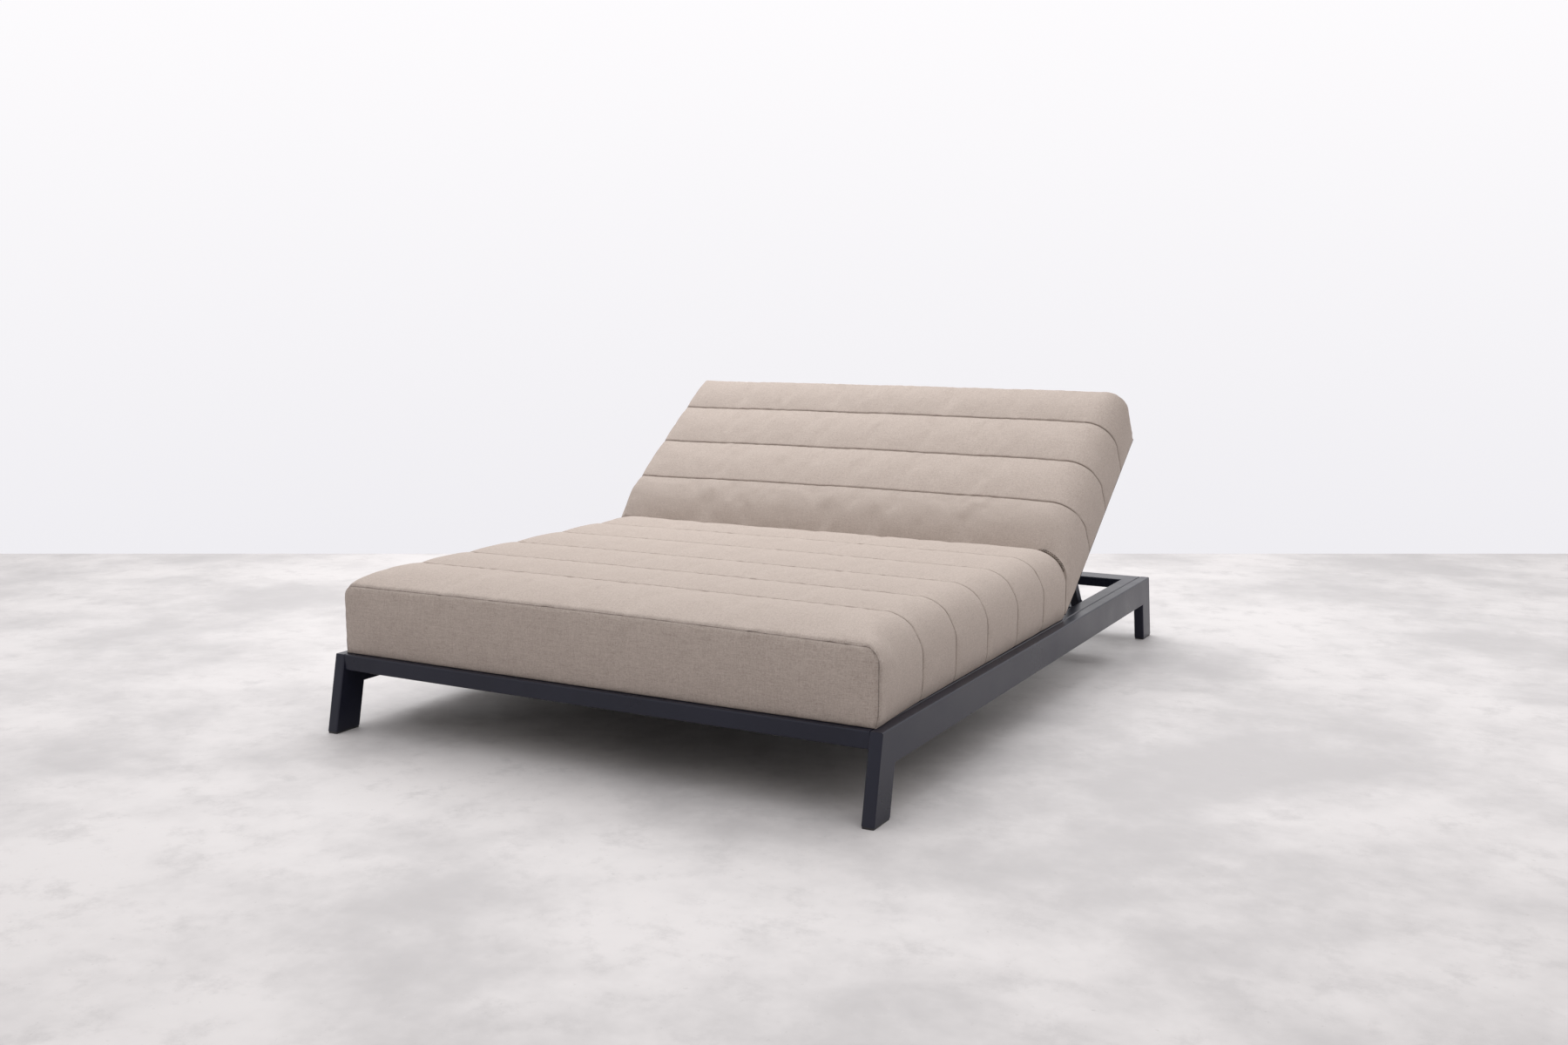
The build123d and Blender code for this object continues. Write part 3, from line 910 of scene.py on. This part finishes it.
        border = [[outer[0], ring[0, 0]]]
        far_border = [[outer[-1], ring[-1, 0]]]
        for inset, loop in zip(self.cap_loops, loops):
            ids = add(loop, self.cap_seam_share * inset, -1.0) if puff else add(loop, NO_SEAM, 0.0)
            net.strip(*((ids, outer) if end == 0 else (outer, ids)))
            outer = ids
            border.append([ids[0], loop[0, 0]])
            far_border.insert(0, [ids[-1], loop[-1, 0]])
        a = self.side_steps + self.corner_steps // 2
        across = grid.shape[0] - 1
        ids = np.full(grid.shape[:2], -1)
        ids[0, :], ids[-1, :], ids[:, -1] = outer[: a + 1], outer[::-1][: a + 1], outer[a : a + across + 1]
        new = ids < 0
        ids[new] = add(grid[new], NO_SEAM, 0.0)
        for i in range(across):
            for j in range(a):
                quad = (int(ids[i, j]), int(ids[i + 1, j]), int(ids[i + 1, j + 1]), int(ids[i, j + 1]))
                net.faces.append(quad if end == 0 else quad[::-1])
        border += [*zip(ids[1:-1, 0], grid[1:-1, 0, 0]), *far_border]
        return [int(n) for n, _ in border], [place for _, place in border]

    def close_under(
        self, net: Net, index: np.ndarray, x: np.ndarray, s: np.ndarray, borders: list[tuple[list[int], list[float]]]
    ) -> None:
        """Adds the underside between the cover's lower edges.

        Args:
            net: The mesh being made.
            index: The point numbers of the rows over the top and sides.
            x: Their places across.
            s: Their places along.
            borders: The lower edge of each end panel.
        """
        rows = self.places()
        shares = ((np.array(borders[0][1]) - x[0, 0]) / (x[0, -1] - x[0, 0]))[None, 1:-1]
        left, right = x[1:-1, :1], x[1:-1, -1:]
        across = left + (right - left) * shares
        along = s[1:-1, :1] + (s[1:-1, -1:] - s[1:-1, :1]) * shares
        inside = np.minimum(across - left, right - across)
        inside = np.minimum(inside, np.minimum(rows - rows[0], rows[-1] - rows)[1:-1, None])
        up = self.base + self.hem * np.clip((inside - self.hem_start) / self.hem_width, 0, 1)
        middle = self.world(across, along, up).reshape(-1, 3)
        under = net.add(middle, cloth=middle, seam=NO_SEAM, lip=0.0, pin=1.0).reshape(across.shape)
        lines = [borders[0][0], *np.column_stack([index[1:-1, 0], under, index[1:-1, -1]]), borders[1][0]]
        for first, second in zip(lines, lines[1:]):
            net.strip(second, first)

    def build(self) -> Piece:
        """Makes the cover's mesh, with its cloth coordinates, seam distances and pinned points.

        Returns:
            The object.
        """
        net = Net()
        x, s, h, away, lip = self.tube()
        columns = x.shape[1]
        steps = np.cumsum(np.hypot(np.diff(x, axis=1), np.diff(h, axis=1)), 1)
        arc = np.concatenate([np.zeros((len(x), 1)), steps], 1)
        arc = arc - arc[:, columns // 2][:, None]
        rows = np.repeat(self.places()[:, None], columns, 1)
        pinned = (away[:, None] < TINY) | (h <= self.base + TINY)
        pinned[[0, -1]] = True
        index = net.add(
            self.world(x, s, h).reshape(-1, 3),
            cloth=np.stack([arc, rows, np.zeros_like(arc)], -1).reshape(-1, 3),
            seam=np.repeat(away, columns),
            lip=np.repeat(lip, columns),
            pin=pinned.ravel(),
        ).reshape(x.shape)
        for first, second in zip(index, index[1:]):
            net.strip(first, second)
        borders = [self.close_end(net, end, index[-end], np.stack([x[-end], h[-end]], -1)) for end in (0, 1)]
        self.close_under(net, index, x, s, borders)
        pins = np.concatenate(net.facts.pop("pin"))
        made = net.piece(self.name)
        made.vertex_groups.new(name="pinned").add([int(i) for i in np.nonzero(pins > 0.5)[0]], 1.0, "REPLACE")
        return made


@dataclass
class Sewing:
    """Fills a cover, then pulls its seams tight and gives the cloth its small unevenness."""

    pressure: float = 4.0
    frames: int = 20
    limit: float = 0.024
    groove: float = 0.0033
    groove_width: float = 0.0029
    lip: float = 0.0006
    lip_place: float = 0.0036
    lip_width: float = 0.0018
    pucker: float = 0.00045
    pucker_reach: float = 0.018
    lumps: float = 0.0011
    lumps_start: float = 0.03

    def settle(self, cover: Piece) -> bpy.types.Modifier:
        """Gives the cover its cloth settings.

        Args:
            cover: The cover's object.

        Returns:
            The cloth modifier.
        """
        cloth = cover.modifiers.new("filling", "CLOTH")
        values = {
            "quality": 5, "mass": 0.35, "tension_stiffness": 18.0, "compression_stiffness": 18.0,
            "shear_stiffness": 8.0, "bending_stiffness": 1.2, "air_damping": 4.0, "use_pressure": True,
            "uniform_pressure_force": self.pressure, "shrink_min": -0.006, "vertex_group_mass": "pinned",
        }
        for name, value in values.items():
            setattr(cloth.settings, name, value)
        cloth.settings.effector_weights.gravity = 0.0
        cloth.collision_settings.use_collision = False
        cloth.point_cache.frame_start, cloth.point_cache.frame_end = 1, self.frames
        return cloth

    def fill(self, cover: Piece) -> None:
        """Swells the cover with air pressure, its seams and underside held.

        Args:
            cover: The cover's object.
        """
        rest = read(cover.data.vertices, "co", 3)
        cloth = self.settle(cover)
        scene = bpy.context.scene
        for frame in range(1, self.frames + 1):
            scene.frame_set(frame)
        swollen = cover.evaluated_get(bpy.context.evaluated_depsgraph_get()).to_mesh()
        move = read(swollen.vertices, "co", 3) - rest
        far = np.linalg.norm(move, axis=1)
        LOG.info("%s swells by %.1f mm at most and %.1f mm on average", cover.name, 1e3 * far.max(), 1e3 * far.mean())
        move *= np.minimum(1.0, self.limit / np.maximum(far, 1e-9))[:, None]
        cover.modifiers.remove(cloth)
        scene.frame_set(1)
        cover.data.vertices.foreach_set("co", (rest + move).astype(np.float32).ravel())
        cover.data.update()

    def tighten(self, cover: Piece) -> None:
        """Sinks the seams, raises a faint lip beside them and puckers the cloth along them.

        Args:
            cover: The cover's object, already refined.
        """
        mesh = cover.data
        places, normals = read(mesh.vertices, "co", 3), read(mesh.vertex_normals, "vector", 3)
        cloth = read(mesh.attributes["cloth"].data, "vector", 3)
        seam, side = (read(mesh.attributes[name].data, "value", 1) for name in ("seam", "lip"))
        x, s = cloth[:, 0], cloth[:, 1]
        sink = self.groove * np.exp(-((seam / self.groove_width) ** 2))
        raised = self.lip * np.exp(-(((seam - self.lip_place) / self.lip_width) ** 2))
        raised = raised * (0.25 + 0.75 * np.clip(side, 0, 1))
        pucker = ripple(x, 0.055, 0.9) + 0.6 * ripple(x + 0.2 * s, 0.031, 2.3)
        pucker = self.pucker * pucker * np.exp(-seam / self.pucker_reach)
        lumps = self.lumps * ripple(x + 0.4 * s, 0.37, 0.2) * ripple(s, 0.16, 1.1)
        lumps = lumps * np.clip(seam / self.lumps_start, 0, 1)
        shift = raised + pucker + lumps - sink
        mesh.vertices.foreach_set("co", (places + normals * shift[:, None]).astype(np.float32).ravel())
        mesh.update()

    def finish(self, cover: Piece) -> None:
        """Does all of it.

        Args:
            cover: The cover's object.
        """
        self.fill(cover)
        refine(cover)
        cover.vertex_groups.clear()
        self.tighten(cover)


class Cushion:
    """A full width cushion in its place on the lounger."""

    stands_for = ""
    fill = 0.85

    def shell(self) -> Shell:
        """The cushion's cover."""
        raise NotImplementedError

    def build(self, fabric: Material) -> Piece:
        """Makes the cushion, sews and fills it, gives it the cloth, bakes its placement and hides the part it stands
        for.

        Args:
            fabric: The cloth's material.

        Returns:
            The cushion.
        """
        shell = self.shell()
        cover = shell.build()
        Sewing().finish(cover)
        cover.data.materials.append(fabric)
        Fold.bend(cover, shell.lay)
        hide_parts(self.stands_for)
        return cover


class SeatCushion(Cushion):
    """The full width seat cushion: six sewn channels, a plain front panel, and a rear end in the fold."""

    stands_for = "seat_cushion"
    front = -0.9915
    rear = 0.2505
    seams = (-0.746, -0.553, -0.351, -0.138, 0.064)
    base = 0.1955
    cap_top = 0.3675

    def shell(self) -> Shell:
        """The cushion's cover, wider at the front panel and drifting left behind it, with a hem round its lining.

        Returns:
            The cover.
        """
        stations = [
            Station(self.front, -0.734, 0.733, self.cap_top, 0.0055, 0.030, 0.034),
            Station(self.front + 0.03, -0.7355, 0.7315, self.cap_top + 0.0095, 0.0050, 0.034, 0.046),
            Station(-0.90, -0.7370, 0.7270, 0.3850, 0.0040, 0.042, 0.072),
            Station(-0.84, -0.7375, 0.7250, 0.3880, 0.0035, 0.046, 0.084),
            Station(-0.746, -0.7380, 0.7225, 0.3885, 0.0030, 0.050, 0.092),
            Station(-0.351, -0.7395, 0.7215, 0.3885, 0.0025, 0.052, 0.096),
            Station(0.064, -0.7410, 0.7195, 0.3885, 0.0025, 0.052, 0.096),
            Station(self.rear, -0.7440, 0.7200, 0.3880, 0.0015, 0.052, 0.096),
        ]
        return Shell(
            "seat_cover", stations, [self.front, *self.seams, self.rear], self.base, Lay.FLAT,
            high_roll=0.006, left_hold=1.0, hem=0.0026,
        )


class BackCushion(Cushion):
    """The full width back cushion, leaning on the back's frame, with its lower end in the fold."""

    stands_for = "back_cushion"
    low = 0.0245
    high = 0.784
    seams = (0.279, 0.456, 0.633)
    base = 0.0183

    def shell(self) -> Shell:
        """The cushion's cover, its lower end upright against the seat cushion.

        Returns:
            The cover.
        """
        stations = [
            Station(self.low, -0.7575, 0.7215, 0.2000, 0.0070, 0.024, 0.085),
            Station(0.150, -0.7550, 0.7215, 0.2010, 0.0075, 0.022, 0.090),
            Station(0.279, -0.7545, 0.7215, 0.2020, 0.0070, 0.022, 0.094),
            Station(0.456, -0.7570, 0.7215, 0.2030, 0.0050, 0.020, 0.094),
            Station(0.633, -0.7585, 0.7218, 0.2030, 0.0040, 0.018, 0.088),
            Station(0.740, -0.7575, 0.7220, 0.2025, 0.0030, 0.018, 0.068),
            Station(self.high, -0.7560, 0.7222, 0.2010, 0.0025, 0.017, 0.058),
        ]
        return Shell(
            "back_cover", stations, [self.low, *self.seams, self.high], self.base, Lay.TILTED,
            low_lean=math.tan(RECLINE), low_roll=0.049, left_hold=0.25, left_tuck=0.004, right_tuck=0.0,
        )


@dataclass
class Lining:
    """The dark cloth panel that closes the underside of a cushion."""

    name: str
    cover: Shell
    body: Body
    stands_for: str
    inset: float
    low: float
    high: float
    shares: tuple[float, ...] = (0.0, 0.0015, 0.01, 0.1, 0.3, 0.5, 0.7, 0.9, 0.99, 0.9985, 1.0)
    rows: int = 40

    def build(self, cloth: Material) -> Piece:
        """Makes the panel, with a soft round edge.

        Args:
            cloth: Its material.

        Returns:
            The panel.
        """
        shares = np.array(self.shares)
        first, last = self.cover.seams[0] + self.inset, self.cover.seams[-1] - self.inset
        rows = np.unique(np.concatenate([first + (last - first) * shares, np.linspace(first, last, self.rows)]))
        x, _ = self.cover.sections(rows)
        left, right = x[:, :1] + self.inset, x[:, -1:] - self.inset
        across = left + (right - left) * shares[None, :]
        along = np.repeat(rows[:, None], across.shape[1], 1)
        net = Net()
        top, under = (
            net.add(self.cover.world(across, along, np.full_like(across, up)).reshape(-1, 3)).reshape(across.shape)
            for up in (self.high, self.low)
        )
        for r in range(len(rows) - 1):
            net.strip(top[r], top[r + 1])
            net.strip(under[r + 1], under[r])
        rim, low_rim = (
            np.concatenate([ids[0], ids[1:, -1], ids[-1, -2::-1], ids[-2::-1, 0]]) for ids in (top, under)
        )
        net.strip(low_rim, rim)
        made = net.piece(self.name)
        refine(made)
        made.data.materials.append(cloth)
        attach(made, self.body.value)
        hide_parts(self.stands_for)
        return made


@dataclass
class Zip:
    """The zip in the fold between the two cushions, seen where the right shoulder of the seat drops away."""

    cover: Shell
    first: float = 0.636
    lowest: float = 0.325
    behind: float = 0.0009
    rise: float = 0.0095
    thickness: float = 0.0011
    tooth: float = 0.0017
    pitch: float = 0.0031
    outline: tuple[tuple[float, float], ...] = (
        (-0.003, -0.5), (0.3, -0.5), (0.9, -0.5), (1.0, 0.0), (0.9, 0.5), (0.3, 0.5), (-0.003, 0.5)
    )
    taper: int = 6
    bare: int = 3
    rows: tuple[float, float] = (0.72, 0.50)
    sides: int = 8

    def path(self) -> tuple[np.ndarray, np.ndarray]:
        """The seam it is sewn into.

        Returns:
            Evenly spaced points of the seat's rear outline, and the outward directions there.
        """
        x, _, h, _, _ = self.cover.tube()
        ring = np.stack([x[-1], h[-1]], -1)
        part = ring[(ring[:, 0] > self.first) & (np.arange(len(ring)) < len(ring) - 4) & (ring[:, 1] > self.lowest)]
        length = np.concatenate([[0], np.cumsum(np.linalg.norm(np.diff(part, axis=0), axis=1))])
        at = np.linspace(0, length[-1], int(length[-1] / self.pitch))
        points = np.stack([np.interp(at, length, part[:, 0]), np.interp(at, length, part[:, 1])], -1)
        way = np.gradient(points, axis=0)
        way /= np.linalg.norm(way, axis=1, keepdims=True)
        return points, np.stack([-way[:, 1], way[:, 0]], -1)

    def piece(self, name: str, net: Net, material: Material) -> Piece:
        """Makes one piece of the zip.

        Args:
            name: Its name.
            net: Its points and faces.
            material: Its finish.

        Returns:
            The piece.
        """
        made = net.piece(name)
        made.data.shade_smooth()
        made.data.materials.append(material)
        Fold.bend(made, self.cover.lay)
        return made

    def rod(self, net: Net, rings: Iterable[tuple[np.ndarray, np.ndarray, np.ndarray | float]]) -> None:
        """Adds a rod.

        Args:
            net: The mesh being made.
            rings: Each ring's middle, the shifts of its points across and up, and their depth behind the tape.
        """
        ids = []
        for middle, shifts, depth in rings:
            flat = middle + shifts
            y = np.broadcast_to(self.cover.seams[-1] + self.behind + depth, len(flat))
            ids.append(net.add(np.column_stack([flat[:, 0], y, flat[:, 1]])))
        net.rod(ids)

    def build(self, tape: Material, coil: Material) -> None:
        """Makes the tape and its coil teeth, which stand on it in two staggered rows.

        Args:
            tape: The tape's material.
            coil: The teeth's material.
        """
        line, out = self.path()
        steps = np.arange(len(line))
        taper = np.clip(np.minimum(steps, steps[::-1]) / self.taper, 0, 1) ** 0.5
        rise, depth = np.array(self.outline).T
        net = Net()
        self.rod(net, (
            (place, side * np.where(rise < 0, rise, rise * self.rise * share)[:, None], depth * self.thickness)
            for place, side, share in zip(line, out, taper)
        ))
        self.piece("zip_tape", net, tape)
        net = Net()
        half = self.thickness / 2
        levels = ((-half - 0.0009, 0.62), (-half - 0.0004, 1.0), (half + 0.0001, 1.0))
        turns = 2 * math.pi * np.arange(self.sides)[:, None] / self.sides
        for i in range(self.bare, len(line) - self.bare):
            along = line[i + 1] - line[i - 1]
            shape = along / np.linalg.norm(along) * np.cos(turns) * 0.5 + out[i] * np.sin(turns)
            middle = line[i] + out[i] * self.rise * taper[i] * self.rows[i % 2]
            self.rod(net, ((middle, shape * self.tooth * grow, depth) for depth, grow in levels))
        self.piece("zip_coil", net, coil)


# Frame


@dataclass
class Hardware:
    """Every part of the frame, the back's frame and the prop, dressed in its own finish."""

    finishes: dict[str, Material]

    def dress(self, nodes: dict[str, Piece], slots: dict[str, str]) -> None:
        """Gives each part its finish.

        Args:
            nodes: The parts by name.
            slots: Each part's material slot.
        """
        for name, part in sorted(nodes.items()):
            finish = self.finishes[slots[name]]
            part.data.materials.clear()
            part.data.materials.append(finish)
            LOG.info("%s: %s", name, finish.name)


# Studio


@dataclass(frozen=True)
class Lamp:
    """A soft square lamp: its place and aim, its side in metres and its power in watts."""

    name: str
    place: Point
    aim: Point
    size: float
    power: float

    def hang(self) -> None:
        """Hangs the lamp and turns it towards its aim."""
        data = bpy.data.lights.new(self.name, "AREA")
        data.size, data.energy = self.size, self.power
        made = bpy.data.objects.new(self.name, data)
        made.location = self.place
        way = np.array(self.aim) - np.array(self.place)
        made.rotation_euler = (math.atan2(math.hypot(way[0], way[1]), -way[2]), 0.0, math.atan2(-way[0], way[1]))
        bpy.context.scene.collection.objects.link(made)


@dataclass
class Studio:
    """A pale floor, soft light from above and behind, a pale sweep all round, and the camera."""

    eye: Point = (2.0039, -3.7468, 1.0604)
    pitch: float = 0.1432
    heading: float = 0.4964
    lens: float = 35.0
    sensor: float = 36.0
    clip: float = 100.0
    floor_ahead: float = 6.42
    floor_reach: float = 14.0
    horizon: float = 0.09
    zenith: float = 1.40
    rear_light: float = 0.55
    low_tint: Colour = (1.0, 0.905, 0.83)
    high_tint: Colour = (0.98, 0.98, 1.0)
    sweep: tuple[tuple[float, Colour], ...] = (
        (-0.178, (0.855, 0.840, 0.845)),
        (-0.176, (0.855, 0.845, 0.880)),
        (0.22, (1.0, 0.985, 1.0)),
    )
    lamps: tuple[Lamp, ...] = (
        Lamp("above", (-1.0, 1.3, 3.8), (0.0, 0.0, 0.2), 4.0, 150.0),
        Lamp("right", (4.6, 1.6, 1.9), (0.4, 0.0, 0.2), 2.4, 20.0),
    )

    def camera(self) -> None:
        """Stands the camera where the photograph was taken."""
        data = bpy.data.cameras.new("camera")
        data.lens, data.sensor_width, data.clip_end = self.lens, self.sensor, self.clip
        data.sensor_fit = "HORIZONTAL"
        made = bpy.data.objects.new("camera", data)
        made.location = self.eye
        made.rotation_euler = (math.pi / 2 - self.pitch, 0.0, self.heading)
        bpy.context.scene.collection.objects.link(made)
        bpy.context.scene.camera = made

    def floor(self) -> None:
        """Lays the floor, whose far edge is square to the camera's heading."""
        side = np.array([math.cos(self.heading), math.sin(self.heading), 0.0])
        ahead = np.array([-math.sin(self.heading), math.cos(self.heading), 0.0])
        far = np.array([self.eye[0], self.eye[1], 0.0]) + ahead * self.floor_ahead
        left, right = far - side * self.floor_reach, far + side * self.floor_reach
        near = ahead * -self.floor_reach
        net = Net()
        net.faces.append(tuple(int(n) for n in net.add(np.array([left + near, right + near, right, left]))))
        made = net.piece("floor")
        made.data.materials.append(Concrete().material())

    def light_round(self, nodes: Nodes, way: Socket, height: Socket) -> Socket:
        """Light that grows from the horizon to the zenith, and an even one from behind the lounger.

        Args:
            nodes: The world's nodes.
            way: The direction looked in.
            height: Its upward part.

        Returns:
            The light's shader socket.
        """
        rise = nodes.remap(height, 0.0, 0.9, self.horizon, self.zenith, "LINEAR")
        ahead = (-math.sin(self.heading), math.cos(self.heading), 0.0)
        rear = nodes.remap(nodes.math("DOT_PRODUCT", way, ahead, "VectorMath"), 0.0, 0.3, way="LINEAR")
        made = nodes.tree.nodes["Background"]
        nodes.feed(made.inputs["Strength"], nodes.mix(rear, rise, self.rear_light, "FLOAT"))
        nodes.feed(made.inputs["Color"], nodes.mix(height, self.low_tint, self.high_tint))
        return made.outputs["Background"]

    def sweep_round(self, nodes: Nodes, height: Socket) -> Socket:
        """The pale sweep, toned like the floor below its far edge.

        Args:
            nodes: The world's nodes.
            height: The upward part of the direction looked in.

        Returns:
            The sweep's shader socket.
        """
        tone = nodes.node("ValToRGB")
        nodes.feed(tone.inputs["Fac"], nodes.remap(height, -1.0, 1.0, way="LINEAR"))
        stops = [*tone.color_ramp.elements, tone.color_ramp.elements.new(1.0)]
        for stop, (up, colour) in zip(stops, self.sweep):
            stop.position, stop.color = (1 + up) / 2, (*colour, 1.0)
        made = nodes.node("Background")
        nodes.feed(made.inputs["Color"], tone.outputs["Color"])
        return made.outputs["Background"]

    def world(self) -> None:
        """Lights the surfaces from all round, and shows the sweep to the camera, mirrors and glass."""
        world = bpy.data.worlds.new("studio")
        world.use_nodes = True
        nodes = Nodes(world.node_tree)
        way = nodes.place("Generated")
        split = nodes.node("SeparateXYZ")
        nodes.feed(split.inputs[0], way)
        height = split.outputs["Z"]
        path = nodes.node("LightPath")
        mirrored = nodes.math("MAXIMUM", path.outputs["Is Glossy Ray"], path.outputs["Is Transmission Ray"])
        seen = nodes.node("MixShader")
        nodes.feed(seen.inputs["Fac"], nodes.math("MAXIMUM", path.outputs["Is Camera Ray"], mirrored))
        nodes.feed(seen.inputs[1], self.light_round(nodes, way, height))
        nodes.feed(seen.inputs[2], self.sweep_round(nodes, height))
        nodes.feed(nodes.tree.nodes["World Output"].inputs["Surface"], seen.outputs["Shader"])
        bpy.context.scene.world = world

    def build(self) -> None:
        """Builds the studio."""
        bpy.context.scene.view_settings.view_transform = "Standard"
        self.camera()
        self.floor()
        self.world()
        for lamp in self.lamps:
            lamp.hang()


def make_finishes() -> dict[str, Material]:
    """One finish for each material slot."""
    return {
        Slot.POWDER.value: PowderCoat().material(),
        Slot.NYLON.value: Moulding("black_nylon", (0.012, 0.012, 0.014), 0.5).material(),
        Slot.RUBBER.value: Moulding("black_rubber", (0.010, 0.010, 0.010), 0.75).material(),
        Slot.STEEL.value: TurnedSteel().material(),
        Slot.FABRIC.value: WovenFabric().material(),
        Slot.LINING.value: MeshLining().material(),
    }


def main() -> None:
    """Builds the studio, the cushions and every finish in order."""
    logging.basicConfig(level=logging.INFO, format="%(name)s: %(message)s")
    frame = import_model()
    Studio().build()
    finishes = make_finishes()
    slots = {row["node"]: row["material_slot"] for row in frame["record"]["subparts"]}
    Hardware(finishes).dress(frame["nodes"], slots)
    seat, back = SeatCushion(), BackCushion()
    for cushion in (seat, back):
        made = cushion.build(finishes[Slot.FABRIC.value])
        LOG.info("%s has %d faces", made.name, len(made.data.polygons))
    lining = finishes[Slot.LINING.value]
    Lining("seat_lining", seat.shell(), Body.BASE, "seat_cushion_base", 0.009, 0.1953, 0.1978).build(lining)
    Lining("back_lining", back.shell(), Body.BACK, "back_cushion_base", 0.0, 0.0152, 0.0180).build(lining)
    tape = Moulding("zip_tape_cloth", (0.13, 0.105, 0.088), 0.8).material()
    coil = Moulding("zip_coil_nylon", (0.44, 0.40, 0.37), 0.45).material()
    Zip(seat.shell()).build(tape, coil)


if __name__ == "__main__":
    main()
